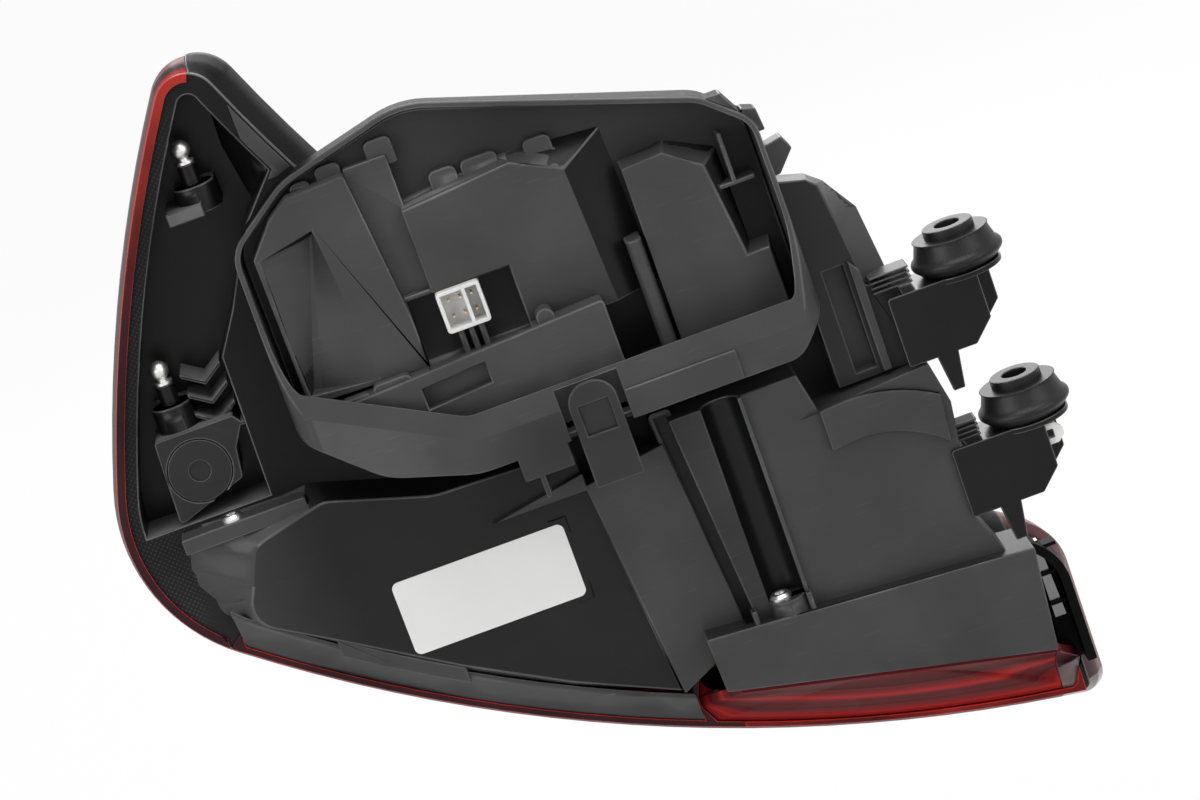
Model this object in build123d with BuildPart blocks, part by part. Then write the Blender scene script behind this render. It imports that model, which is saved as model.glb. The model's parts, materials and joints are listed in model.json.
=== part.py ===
from build123d import *
import os

# Frame: the origin is the mouth of the lower fixing's thread. X runs along the lamp's long side,
# Z is the direction in which the lamp is pushed onto the car, and Y goes from the car body to the lens.

# Depth levels along Y
weld_y = 14.0
rim_y = -28.0
skirt_y = -20.0
panel_y = -12.0
rib_panel_y = -6.0
label_y = -3.0
chamber_y = -2.0
pocket_y = 38.0
bezel_y = 44.0

# Wall thicknesses and clearances
wall = 2.5
lens_wall = 3.0
bezel_wall = 2.0
cover_wall = 2.2
reflector_wall = 1.5
fit_gap = 0.3
cover_gap = 0.8
gasket_thickness = 1.5
board_thickness = 1.6

# Lens outline at its widest section, as corner points (X, Z) and the bulge of each side
tip = (-278, 276)
low_corner = (-392, 38)
end_low = (0, -149.5)
end_high = (0, -72)
left_bulge = 13.3
bottom_bulge = 34.3
top_hollow = 37.9
tip_radius = 20.0
low_radius = 80.0
end_low_radius = 9.0
end_high_radius = 28.0
smallest_round = 3.0

# Lens depth: distance from the weld plane, how far the outline draws in there and its share of the lean
lens_flare = 6.5
lens_lean = (-3.0, 3.2)
lens_profile = ((0, lens_flare, 1.0), (9, 2.5, 0.5), (20, 0, 0), (34, 1.5, 0), (64, 7, 0))
lens_depth = 58.0
crown_edge = 4.0
crown_radius = 1500.0
crown_centre = (-190, 40)
end_split_x = -22.0

# Side of the lens that faces the car body: the housing reaches up to the crown there
side_shift = (-12.0, -14.0)
side_start_x = -282.0

# Shoulder of the lens below the skirt, from its near edge down to the weld plane
shoulder_near = ((-154, -75.5), (-20, -107))
shoulder_far_x = (-174, -7)
shoulder_lip = 4.0

# Housing flange, lip and wing pocket
flange_width = 9.0
lip_y = 0.0
lip_inset = 16.0
lip_x = (-346, -173)
pocket_limits = (
    (-400, 70), (-313, 70), (-311, 133), (-300, 150), (-284, 180), (-262, 204), (-218, 280), (-400, 280),
)

# Rim tower that holds the lamp carrier
rim_outline = (
    (-291, 94), (-262, 68), (-226, 57.5), (-84, 57.5), (-69, 72), (-69, 155),
    (-88, 171), (-205, 210), (-262, 196), (-291, 176),
)
rim_radii = (12, 30, 40, 12, 12, 14, 20, 40, 30, 16)
rim_corner_depth = 8.0
rim_plan_radii = (0, 9, 60, 9, 9, 0)
rim_corner_x = -222.0
seal_z = 71.5
seal_top_z = 202.0
seal_top_y = 2.0

# Housing panels: outline points (X, Z)
label_front = (
    (-340, 24), (-332, 39), (-325, 55), (-292, 63), (-248, 49), (-187, 47),
    (-178, -70), (-220, -50), (-262, -26), (-302, 0),
)
label_radii = (12, 14, 10, 14, 30, 0, 0, 40, 40, 40)
label_base = (
    (-352, 28), (-361, 48), (-355, 70), (-296, 70), (-248, 55), (-187, 50),
    (-175, -76), (-220, -60), (-266, -36), (-306, -8),
)
rib_panel = ((-187, 31), (-150, 37), (-142, -54), (-177, -71))
main_panel = ((-146, 47), (-88, 47), (-84, 29), (-34, 32), (-30, 13), (-36, -38), (-26, -62), (-137, -58))
panel_groove = ((-150, 48), (-145, 48), (-137, -58), (-142, -58))
skirt = ((-161, -47), (-17, -58), (-21, -105), (-160, -72))
chamber_front = (
    (-72, 126), (-57, 122), (-53, 118), (-50.5, 100), (-48, 71), (-35, 66), (-35, 32), (-72, 32),
)
chamber_base = (
    (-72, 126), (-56, 121.5), (-49, 115.5), (-39, 100), (-36, 74), (-35, 66), (-35, 32), (-72, 32),
)
chamber_recess = ((-63, 36), (-63, 82), (-54, 82), (-54, 36))
chamber_recess_depth = 8.0
chamber_strip = ((-52, 33), (-52, 84), (-48, 78), (-48, 33))
chamber_strip_rise = 3.0
lower_pad_left_x = -46.0
lower_pad_y = -10.0
back_plate = ((-215, 66), (-62, 66), (-36, 40), (-36, -40), (-120, 10))
light_chamber = (
    (-180, 26), (-96, 26), (-52, -14), (-34, -52), (-34, -98), (-156, -69), (-163, -59), (-172, -63),
)
arch_centre = (-72, -40)
arch_radii = (52.0, 70.0)
arch_rise = 3.0

groove_depth = 6.0
channel_rib_x = (-114.6, -112.8)
channel_rib_rise = 3.0
foot_fins_x = (-138.0, -113.5)
foot_fin_rise = 6.0
combs = (((-46, -28.5), (-6, 8), 66.0), ((-34, -22), (-9, 2), -6.0))
comb_count = 4
comb_pitch = 2.2
comb_thickness = 0.9
hooks = (
    ((-89, 158), (-87, 169), (-79, 169), (-73, 158)),
    ((-77, 148), (-73, 160), (-67, 158), (-66, 148)),
    ((-71, 128), (-71, 141), (-61, 143), (-58, 137), (-66, 128)),
)
hook_y = (-3.0, 8.0)
lip_pad_x = (-308, -261)
lip_pad_inset = (14.0, 20.5)
lip_pad_y = (-2.5, 4.0)
channel_base = 14.0
arch_limits = ((-84, -10), (-84, 40), (-31, 40), (-36, -10))
clip_plate_x = (-209, -187)
clip_plate_z = (47.5, 60)
clip_rib_x = -201.5
clip_rib_z = (38, 58)
ramp = ((-229, 29), (-186, 29), (-186, 37))
rim_pad_x = (-158, -109)
rim_pad_z = (58, 71)
rim_pad_rise = 1.5

# Slanting side of the wing pocket, from its near edge over a fold to the pocket floor, with a recess
pocket_fold_y = 24.0
pocket_side_lines = (
    ((-274, 262), (-274, 250), (-263, 233), (-249, 195), (-240, 180), (-225, 262)),
    ((-276, 262), (-271.5, 246), (-271.5, 215), (-271, 192), (-258, 178), (-225, 262)),
    ((-281, 262), (-281, 250), (-283, 212), (-278, 184), (-262, 176), (-225, 262)),
)
wing_recess = ((-266, 193), (-257, 193), (-257, 214), (-266, 214))
wing_recess_radius = 3.0
wing_recess_floor = 30.0

# Ledges, seat of the round plug, folded ribs and screw rail in the wing
ledge_near = 14.0
ledge_thickness = 6.0
upper_ledge_x = (-312, -296)
upper_ledge_z = 197.0
seat_y = 12.0
seat_outline = ((-351, 108), (-316, 108), (-313, 104), (-319, 94), (-321, 81), (-353, 70))
seat_round = 2.0
seat_rib = ((-315, 102.5), (-301, 101), (-301, 103), (-315, 104.5))
wing_rail_x = (-354, -299)
wing_rail_near = 0.0
wing_rail_z = (60.0, 67.0)
fold_count = 3
fold_line = ((-331, 0), (-322, -6), (-313, 0))
fold_top_z = 131.0
fold_pitch = 9.0
fold_thickness = 2.4
fold_y = 18.0

# Latch tongue in the gap of the rim's near wall
latch_x = -171.5
latch_width = 21.0
latch_gap = 27.0
latch_round = 9.5
latch_base_z = 40.0
latch_top_z = 80.0
latch_window = (13.0, 13.0)
latch_window_z = 64.0
latch_proud = 2.0

# Trim frame and reflector strip at the right end of the lens
trim_x = (-16.5, 0.0)
trim_z = (-122.0, -52.0)
trim_inset = 1.5
trim_width = 4.0
trim_y = 0.0
trim_base = 2.0
trim_plate_inset = 18.0
trim_ribs_z = (-68.0, -80.0, -94.0)
trim_rib_thickness = 1.6
trim_rib_y = 4.0
end_strip = ((-15.5, -64), (-12.5, -64), (-10.5, -100), (-15.5, -100))
end_strip_y = 5.5

# Fixings: a threaded insert in a rubber mount on a bracket
fixing_pitch = 71.5
upper_fixing_x = -7.0
thread_radius = 2.5
insert_radius = 5.0
insert_length = 14.0
insert_flange_radius = 8.0
mount_base_radius = 20.0
mount_cup_radius = 16.0
mount_ring_radius = 11.0
mount_ring_z = 12.0
plate_z = -7.0
bracket_far = 12.0
bracket_wall = 2.5
bracket_height = 31.0
bracket_right = 4.0
bracket_cut = 9.0
bracket_rear_reach = 8.0
bracket_round = 1.5
hook_width = 10.0
hook_length = 16.0
front_overlap = 7.0
mount_edge = 4.0
mount_lip = 2.0
mount_draft = 1.0
insert_flange = 2.0
chamber_right_x = -35.0
lower_pad_x = -30.0
hook_offset = 5.0

# Clear clip on the lower bracket
clip_outline = ((-4, -20), (-4, -11), (8, -11), (11, -14), (11, -17), (8, -20))
clip_round = 1.0
clip_window = ((0, -17.5), (0, -13.5), (7, -13.5), (7, -17.5))
clip_thickness = 3.0

# Ball studs in the wing
stud_places = {"upper": (-297.0, 24.0, 204.0), "lower": (-339.0, 24.0, 119.0)}
ball_radius = 4.2
stud_neck_radius = 2.3
stud_collar_radius = 4.0
stud_height = 15.0
boss_height = 12.0
stud_dish_radius = 9.0
stud_dish_edge = 1.4
stud_dish_depth = 2.0
gusset_thickness = 1.4
stud_post_height = 9.0
stud_shank_length = 7.0
stud_collar = 1.2

# Label on the face below the rim
label_size = (77.0, 33.5)
label_centre = (-240, 2)
label_thickness = 0.3
label_radius = 3.0

# Round plug in the wing
plug_centre = (-337.0, 90.0)
plug_radius = 13.5
plug_depth = 4.0
plug_groove = (11.8, 12.6)
plug_groove_depth = 0.6
plug_dish_radius = 4.5
plug_dish_depth = 1.0

# Screws
screw_head_radius = 5.0
screw_head_height = 2.4
screw_shank_radius = 2.0
screw_shank_length = 6.0
screw_drive_radius = 2.2
wing_screw_x = -331.0
channel_screw_shift = 2.5
channel_x = -122.5
channel_radius = 8.0
channel_low_z = -43.0
channel_high_z = 47.0

# Lamp carrier blocks: outline points (X, Z) and the depth of their near face
carrier_low_y = -16.0
carrier_low = ((-279, 101), (-153, 107), (-153, 62), (-214, 62), (-256, 79))
carrier_left_y = -6.0
carrier_left = (
    (-283, 104), (-283, 170), (-271, 184), (-262, 190), (-236, 191), (-228, 103),
)
carrier_mid_y = -4.0
carrier_mid_front = ((-219, 101), (-219, 168), (-171, 172), (-150, 162), (-147, 101))
carrier_mid_back = ((-219, 101), (-219, 171), (-171, 175), (-127, 173), (-124, 101))
carrier_right_front = (
    (-128, 65), (-128, 153), (-110, 154), (-95, 143), (-90, 101), (-80, 101), (-80, 74), (-88, 65),
)
carrier_right_back = (
    (-128, 65), (-128, 155), (-107, 157), (-86, 147), (-86, 104), (-78, 104), (-78, 75), (-88, 65),
)
strip_y = 1.0
strip_x = (-236, -217)
strip_z = (126, 192)
socket_recess = ((-230, -185), (103, 131))
socket_recess_y = 5.0

carrier_round = 2.0
carrier_cavities = (
    (carrier_low, carrier_low_y), (carrier_left, carrier_left_y),
    (carrier_mid_front, carrier_mid_y), (carrier_right_front, carrier_mid_y),
)
facet_recess = ((-281, 108), (-281, 169), (-256, 174), (-251, 105))
facet_fold = ((-279, 109), (-258.5, 170), (-257, 171), (-276, 108))
facet_depth = 7.0
facet_margin = 1.0
ledge_clips = ((-263, 103, 14), (-247, 105, 17))
ledge_clip_y = (-14.0, -8.0)
carrier_boss = (-178, 107)
carrier_boss_radius = 4.0
carrier_boss_y = -13.0
low_slot = ((-236, 88), (-208, 90), (-208, 99), (-236, 97))
low_slot_depth = 6.0
pillar_x = -133.0
pillar_y = -5.0
pillar_z = (72, 124)
pillar_radius = 3.5
carrier_tabs = (
    (-255, 193, 9), (-242, 196, 11), (-219, 199, 12), (-198, 178, 12), (-182, 178, 16), (-157, 177, 12),
)
tab_height = 12.0
tab_round = 3.0
tab_y = 3.0
carrier_ribs = (((-92, -76), (130, 132)), ((-86, -84), (131, 153)), ((-145, -127), (72, 74)))
rib_y = -2.0
gasket_width = 5.0

# Connector
plug_x = -208.5
plug_y = -8.0
plug_width = 19.0
plug_height = 18.0
plug_low_z = 113.0
plug_wall = 1.6
plug_floor = 4.0
plug_rib_x = -206.3
plug_post_width = 2.6
plug_post_pitch = 4.5
plug_post_count = 3
pin_size = 0.8
pin_length = 4.0
pin_pitch = (5.0, 7.0)
pin_grid = (3, 2)
pin_root = 2.0

# Inside of the lamp
bezel_gap = 0.6
window_inset = 24.0
reflector_floor_y = 6.0
reflector_rim = 3.0
guide_width = 6.0
guide_inset = 26.0
guide_end_x = -178.0
led_size = 3.0
led_height = 1.4
led_gap = 0.5
led_edge = 0.5
board_margin = 6.0
guide_cut = ((-272, 300), (-150, 300), (-150, 0), (-230, 100))
lamp_windows = {
    "stop": {"span": (-165, -108), "floor": (-136, -32), "floor_size": (30, 44), "grid": (3, 4)},
    "turn": {"span": (-99, -40), "floor": (-70, -69), "floor_size": (26, 20), "grid": (3, 3)},
}
driver_board_size = (46.0, 40.0)
driver_board_centre = (-186, 142)

os.makedirs("parts", exist_ok=True)


def at_depth(y):
    """Sketch plane facing the car body at depth y, where a point is (X, Z)."""
    return Plane.XZ.offset(-y)


def finish(builder, name):
    """Labels a finished sub-part and writes its file."""
    builder.part.label = name
    export_step(builder.part, f"parts/{name}.step")


def rectangle(x_range, z_range):
    """Corner points of an upright rectangle."""
    (x0, x1), (z0, z1) = x_range, z_range
    return ((x0, z0), (x0, z1), (x1, z1), (x1, z0))


back_y = weld_y - wall
screw_places = {
    "wing_screw": (wing_screw_x, (wing_rail_near + back_y) / 2, wing_rail_z[1]),
    "channel_screw": (channel_x - channel_screw_shift, panel_y, channel_low_z),
}
bracket_near = panel_y - bracket_wall
bezel_inset = lens_flare + lens_wall + bezel_gap
lower_pad = rectangle((lower_pad_left_x, lower_pad_x), (plate_z - bracket_height, plate_z - bracket_wall))
shoulder_y = skirt_y + wall
cover_back_y = back_y - gasket_thickness
upper_axis = (upper_fixing_x, fixing_pitch)
plug_far_y = socket_recess_y
plug_floor_y = plug_far_y - plug_floor
plug_x_range = (plug_x - plug_width / 2, plug_x + plug_width / 2)
plug_z_range = (plug_low_z, plug_low_z + plug_height)
plug_bays = (
    (plug_x_range[0] + plug_wall, plug_rib_x - plug_wall / 2),
    (plug_rib_x + plug_wall / 2, plug_x_range[1] - plug_wall),
)
plug_floor_plane = Plane((plug_x, plug_floor_y, sum(plug_z_range) / 2), x_dir=(1, 0, 0), z_dir=(0, -1, 0))


def outline_sketch(y, points, radii=0.0, inset=0.0):
    """Closed outline with rounded corners, drawn in by an inset, as a sketch at depth y."""
    with BuildSketch(at_depth(y)) as outline:
        with BuildLine():
            FilletPolyline(*points, radius=radii, close=True)
        make_face()
        if inset != 0:
            offset(amount=-inset)
    return outline.sketch


def block(points, near, far, radii=0.0, taper=0.0, inset=0.0, mode=Mode.ADD):
    """Block between two depths; a taper draws its near face in."""
    extrude(outline_sketch(far, points, radii, inset), amount=far - near, taper=taper, mode=mode)


def backed_recess(points, near, depth, thickness):
    """Recess with walls and a floor of its own in a hollow block."""
    block(points, near + thickness / 2, near + depth + thickness, inset=-thickness)
    block(points, near - depth, near + depth, mode=Mode.SUBTRACT)


def box_between(x_range, y_range, z_range, mode=Mode.ADD):
    """Upright box between three pairs of limits."""
    block(rectangle(x_range, z_range), y_range[0], y_range[1], mode=mode)


def lens_section(y, inset, lean=1.0):
    """Lens outline at depth y, drawn in by an inset and leaning towards the tip."""
    shift = Vector(lens_lean[0] * lean, 0, lens_lean[1] * lean)
    with BuildSketch(Plane(at_depth(y).origin + shift, x_dir=(1, 0, 0), z_dir=(0, -1, 0))) as section:
        with BuildLine():
            SagittaArc(tip, low_corner, -left_bulge)
            SagittaArc(low_corner, end_low, -bottom_bulge)
            Line(end_low, end_high)
            SagittaArc(end_high, tip, top_hollow)
        make_face()
        if inset > 0:
            offset(amount=-inset, kind=Kind.INTERSECTION)
        rounds = (
            (tip, tip_radius), (low_corner, low_radius),
            (end_low, end_low_radius), (end_high, end_high_radius),
        )
        for corner, radius in rounds:
            fillet(section.vertices().sort_by_distance(corner)[0], max(radius - inset, smallest_round))
    return section.sketch


def lens_body(extra):
    """Solid of the lens, every surface drawn in by extra."""
    with BuildPart() as body:
        loft([
            lens_section(weld_y + depth, inset + extra, lean).face()
            for depth, inset, lean in lens_profile
        ], ruled=True)
        with Locations((crown_centre[0], weld_y + lens_depth - crown_radius, crown_centre[1])):
            Sphere(crown_radius - extra, mode=Mode.INTERSECT)
        crown = body.faces().sort_by(Axis.Y)[-1]
        chamfer(crown.edges(), crown_edge)
    return body.part


def strip_of_lens(y, inset, x_range, z_range):
    """Part of the lens outline that lies inside an upright rectangle."""
    return lens_section(y, inset) & outline_sketch(y, rectangle(x_range, z_range))


def shoulder_wedge(extra, rise):
    """Wedge under the skirt between the shoulder's near edge and the weld plane."""
    (near_x0, near_z0), (near_x1, near_z1) = shoulder_near
    slope = (near_z1 - near_z0) / (near_x1 - near_x0)
    far_x0 = shoulder_far_x[0] + extra
    far_x1 = shoulder_far_x[1] - extra
    near_points = (
        (near_x0 + extra, near_z0 + extra * shoulder_lip / lens_wall),
        (near_x1 - extra, near_z1 + extra * shoulder_lip / lens_wall),
        (near_x1 - extra, near_z1 + shoulder_lip + rise),
        (near_x0 + extra, near_z0 + shoulder_lip + rise),
    )
    below_lens = 2 * end_low[1]
    far_points = (
        (far_x0, below_lens),
        (far_x1, below_lens),
        (far_x1, near_z0 + shoulder_lip + rise + slope * (far_x1 - near_x0)),
        (far_x0, near_z0 + shoulder_lip + rise + slope * (far_x0 - near_x0)),
    )
    root = lens_section(weld_y, lens_flare + extra) & outline_sketch(weld_y, far_points)
    with BuildPart() as wedge:
        loft([outline_sketch(shoulder_y, near_points).face(), root.face()], ruled=True)
    return wedge.part


def side_zone():
    """Crescent along the lens edge that faces the car body, through the whole depth of the lens."""
    limits = outline_sketch(weld_y, rectangle((side_start_x, end_split_x), (end_low[1], tip[1])))
    outline = lens_section(weld_y, 0.0, 0.0)
    crescent = outline - Pos(side_shift[0], 0, side_shift[1]) * outline
    with BuildPart() as zone:
        extrude(crescent & limits, amount=-2 * lens_depth)
    return zone.part


# Lens: a crowned cup welded to the flange, with a sloping shoulder under the skirt
shoulder_outer = shoulder_wedge(0.0, 0.0)
with BuildPart() as whole_lens:
    add(lens_body(0.0))
    add(shoulder_outer)
    add(lens_body(lens_wall), mode=Mode.SUBTRACT)
    add(shoulder_wedge(lens_wall, flange_width), mode=Mode.SUBTRACT)

end_plane = Plane.YZ.offset(end_split_x)
body_side = side_zone()
with BuildPart() as outer_lens:
    add(whole_lens.part)
    add(body_side, mode=Mode.SUBTRACT)
    split(bisect_by=end_plane, keep=Keep.BOTTOM)
finish(outer_lens, "outer_lens")

with BuildPart() as end_lens:
    add(whole_lens.part)
    split(bisect_by=end_plane, keep=Keep.TOP)
finish(end_lens, "end_lens")


def rim_body(inset, far):
    """Rim tower up to the sealing plane, every wall drawn in by an inset."""
    left_x = min(x for x, z in rim_outline)
    right_x = max(x for x, z in rim_outline)
    plan_points = (
        (left_x, far + wall), (left_x, rim_y + rim_corner_depth), (rim_corner_x, rim_y),
        (right_x - rim_corner_depth, rim_y), (right_x, rim_y + rim_corner_depth), (right_x, far + wall),
    )
    with BuildSketch(Plane.XY) as plan:
        with BuildLine():
            FilletPolyline(*plan_points, radius=rim_plan_radii, close=True)
        make_face()
        if inset > 0:
            offset(amount=-inset, kind=Kind.INTERSECTION)
    slope = Vector(0, seal_top_y - rim_y, seal_top_z - seal_z)
    seal_plane = Plane(origin=(0, rim_y, seal_z), x_dir=(1, 0, 0), z_dir=Vector(1, 0, 0).cross(slope))
    with BuildPart() as body:
        block(rim_outline, rim_y - wall, far, rim_radii, inset=inset)
        extrude(plan.sketch, amount=seal_top_z * 2, both=True, mode=Mode.INTERSECT)
        if inset == 0:
            split(bisect_by=seal_plane, keep=Keep.BOTTOM)
    return body.part


def hollow_block(outline, near):
    """Cavity of a housing panel, closed towards the lens."""
    block(outline, near + wall, back_y, inset=wall, mode=Mode.SUBTRACT)


def pocket_sketch(y, inset):
    """Outline of the wing pocket, parallel to the lens edge."""
    return lens_section(y, lens_flare + flange_width - inset) & outline_sketch(y, pocket_limits, inset=-inset)


def lip_body(extra):
    """Solid whose side is the sloping lip along the lower left edge."""
    with BuildPart() as body:
        loft([
            lens_section(weld_y, lens_flare + extra).face(),
            lens_section(lip_y, lens_flare + lip_inset + extra).face(),
        ])
    return body.part


def stud_boss(place):
    """Boss and post of a ball stud, standing on the pocket floor."""
    x, y, z = place
    box_between((x - stud_dish_radius, x + stud_dish_radius), (y, pocket_y + wall), (z - boss_height, z))
    with Locations((x, y, z)):
        Cylinder(stud_dish_radius, boss_height, align=(Align.CENTER, Align.CENTER, Align.MAX))
        Cylinder(stud_dish_radius - stud_dish_edge, stud_dish_depth, mode=Mode.SUBTRACT,
                 align=(Align.CENTER, Align.CENTER, Align.MAX))
    with Locations((x, y, z - stud_dish_depth)):
        gusset_length = 2 * stud_dish_radius - stud_dish_edge
        for length, breadth in ((gusset_length, gusset_thickness), (gusset_thickness, gusset_length)):
            Box(length, breadth, stud_dish_depth, align=(Align.CENTER, Align.CENTER, Align.MIN))
        Cylinder(stud_collar_radius, stud_dish_depth + stud_post_height,
                 align=(Align.CENTER, Align.CENTER, Align.MIN))
    with Locations((x, y, z + stud_post_height)):
        Cylinder(stud_neck_radius + fit_gap, stud_shank_length, mode=Mode.SUBTRACT,
                 align=(Align.CENTER, Align.CENTER, Align.MAX))


def pocket_facets():
    """Slanting side of the wing pocket towards the car body, with its recess."""
    depths = (back_y, pocket_fold_y, pocket_y + wall)
    with BuildPart() as facets:
        loft([outline_sketch(y, line).face() for y, line in zip(depths, pocket_side_lines)], ruled=True)
        block(wing_recess, weld_y - wall, wing_recess_floor, wing_recess_radius, mode=Mode.SUBTRACT)
    with BuildPart() as room:
        extrude(pocket_sketch(pocket_y + wall, wall), amount=pocket_y + wall - back_y)
    return facets.part & room.part


plug_plane = Plane(origin=(plug_centre[0], seat_y, plug_centre[1]), x_dir=(1, 0, 0), z_dir=(0, -1, 0))
housing_panels = (
    (rib_panel, rib_panel_y), (main_panel, panel_y), (skirt, skirt_y), (lower_pad, lower_pad_y),
)

# Housing: flange, wing pocket, rim tower and the panels over the light chamber
with BuildPart() as housing:
    extrude(lens_section(weld_y, lens_flare), amount=wall)
    extrude(pocket_sketch(pocket_y + wall, wall), amount=pocket_y + wall - back_y)
    loft([
        outline_sketch(weld_y, label_base, label_radii).face(),
        outline_sketch(label_y, label_front, label_radii).face(),
    ], ruled=True)
    for panel, near in housing_panels:
        block(panel, near, weld_y)
    loft([
        outline_sketch(weld_y, chamber_base).face(), outline_sketch(chamber_y, chamber_front).face(),
    ], ruled=True)
    block(back_plate, back_y, weld_y)
    add(rim_body(0.0, weld_y))
    for hook in hooks:
        block(hook, hook_y[0], hook_y[1])
    for panel, near in housing_panels + ((chamber_front, chamber_y),):
        hollow_block(panel, near)
    block(label_front, label_y + wall, weld_y, inset=2 * wall, mode=Mode.SUBTRACT)
    block(light_chamber, 0, weld_y, mode=Mode.SUBTRACT)
    add(rim_body(wall, back_y), mode=Mode.SUBTRACT)
    extrude(pocket_sketch(pocket_y, 0.0), amount=pocket_y + wall, mode=Mode.SUBTRACT)
    # Groove and half-round channel in the panels
    backed_recess(panel_groove, rib_panel_y, groove_depth, wall)
    box_between((channel_x - channel_radius - wall, channel_x + channel_radius + wall),
                (panel_y, panel_y + channel_radius + wall), (channel_low_z - channel_base, channel_high_z))
    with Locations((channel_x, panel_y, channel_low_z)):
        Cylinder(channel_radius, channel_high_z - channel_low_z, mode=Mode.SUBTRACT,
                 align=(Align.CENTER, Align.CENTER, Align.MIN))
    channel_foot_z = channel_low_z - channel_base
    box_between(channel_rib_x, (panel_y - channel_rib_rise, panel_y), (channel_foot_z, channel_high_z))
    with Locations((channel_x, panel_y, channel_low_z)):
        Cylinder(channel_radius, channel_base, align=(Align.CENTER, Align.CENTER, Align.MAX))
    for fin_x in foot_fins_x:
        box_between((fin_x - wall / 2, fin_x + wall / 2), (panel_y - foot_fin_rise, panel_y),
                    (channel_foot_z, channel_low_z))
    # Recess and strip on the chamber, and combs of thin fins beside the brackets
    backed_recess(chamber_recess, chamber_y, chamber_recess_depth, wall)
    block(chamber_strip, chamber_y - chamber_strip_rise, chamber_y)
    for comb_x, comb_y, comb_z in combs:
        for step in range(comb_count):
            fin_z = comb_z + step * comb_pitch
            box_between(comb_x, comb_y, (fin_z, fin_z + comb_thickness))
    # Arched step on the main panel
    with BuildSketch(at_depth(panel_y)) as arch:
        with Locations(arch_centre):
            Circle(arch_radii[1])
            Circle(arch_radii[0], mode=Mode.SUBTRACT)
        add(outline_sketch(0, arch_limits), mode=Mode.INTERSECT)
    extrude(arch.sketch, amount=arch_rise)
    # Sloping lip along the lower left edge
    lip_limits = rectangle(lip_x, (end_low[1], low_corner[1] - wall))
    lip_shell = lip_body(0.0) - lip_body(wall)
    add(lip_shell & Solid.extrude(outline_sketch(weld_y, lip_limits).face(), Vector(0, lip_y - weld_y, 0)))
    lip_pad_z = (end_low[1], low_corner[1])
    lip_pad = strip_of_lens(lip_pad_y[1], lens_flare + lip_pad_inset[0], lip_pad_x, lip_pad_z)
    lip_pad -= strip_of_lens(lip_pad_y[1], lens_flare + lip_pad_inset[1], lip_pad_x, lip_pad_z)
    extrude(lip_pad, amount=lip_pad_y[1] - lip_pad_y[0])
    # Latch tongue in its gap, with the ledge that carries it
    latch_half = latch_width / 2
    box_between((latch_x - latch_gap / 2, latch_x + latch_gap / 2), (rim_y - wall, rim_y + 2 * wall),
                (latch_base_z, latch_top_z), mode=Mode.SUBTRACT)
    box_between((latch_x - latch_half, latch_x + latch_half), (rim_y - latch_proud, back_y),
                (latch_base_z - 2 * wall, latch_base_z))
    latch_points = rectangle((latch_x - latch_half, latch_x + latch_half), (latch_base_z - wall, latch_top_z))
    block(latch_points, rim_y - latch_proud, rim_y - latch_proud + wall, (0, latch_round, latch_round, 0))
    window_points = rectangle((latch_x - latch_window[0] / 2, latch_x + latch_window[0] / 2),
                              (latch_window_z - latch_window[1] / 2, latch_window_z + latch_window[1] / 2))
    block(window_points, rim_y - latch_proud, rim_y, mode=Mode.SUBTRACT)
    # Clip plate and ramp beside the latch, and the thicker stretch of the rim
    box_between(clip_plate_x, (rim_y, rim_y + wall), clip_plate_z)
    box_between((clip_rib_x - wall / 2, clip_rib_x + wall / 2), (rim_y, back_y), clip_rib_z)
    block(ramp, rib_panel_y, back_y)
    box_between(rim_pad_x, (rim_y - rim_pad_rise, rim_y + wall), rim_pad_z)
    # Ball stud bosses, folded ribs, slanting side, plug seat and screw rail in the wing
    for place in stud_places.values():
        stud_boss(place)
    for step in range(fold_count):
        fold_z = fold_top_z - step * fold_pitch
        fold = [(x, fold_z + z) for x, z in fold_line]
        block(fold + [(x, z - fold_thickness) for x, z in reversed(fold)], fold_y, pocket_y + wall)
    box_between(upper_ledge_x, (ledge_near, pocket_y + wall),
                (upper_ledge_z - ledge_thickness, upper_ledge_z))
    add(pocket_facets())
    block(seat_outline, seat_y, pocket_y + wall, seat_round)
    block(seat_rib, seat_y, pocket_y + wall)
    box_between(wing_rail_x, (wing_rail_near, back_y), wing_rail_z)
    with Locations(plug_plane):
        Cylinder(plug_radius + fit_gap, plug_depth, mode=Mode.SUBTRACT,
                 align=(Align.CENTER, Align.CENTER, Align.MAX))
    # Screw seats, their holes and the place of the lens shoulder
    for place in screw_places.values():
        with Locations(place):
            Cylinder(screw_shank_radius, screw_shank_length, mode=Mode.SUBTRACT,
                     align=(Align.CENTER, Align.CENTER, Align.MAX))
            Cylinder(screw_head_radius + fit_gap, screw_head_height, mode=Mode.SUBTRACT,
                     align=(Align.CENTER, Align.CENTER, Align.MIN))
    add(shoulder_outer, mode=Mode.SUBTRACT)
    # Side towards the car body
    add(whole_lens.part & body_side)
finish(housing, "housing")


def carrier_box(front, back, near):
    """Carrier box whose sides lean from its front outline to its back outline."""
    loft([outline_sketch(near, front).face(), outline_sketch(cover_back_y, back).face()], ruled=True)


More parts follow.
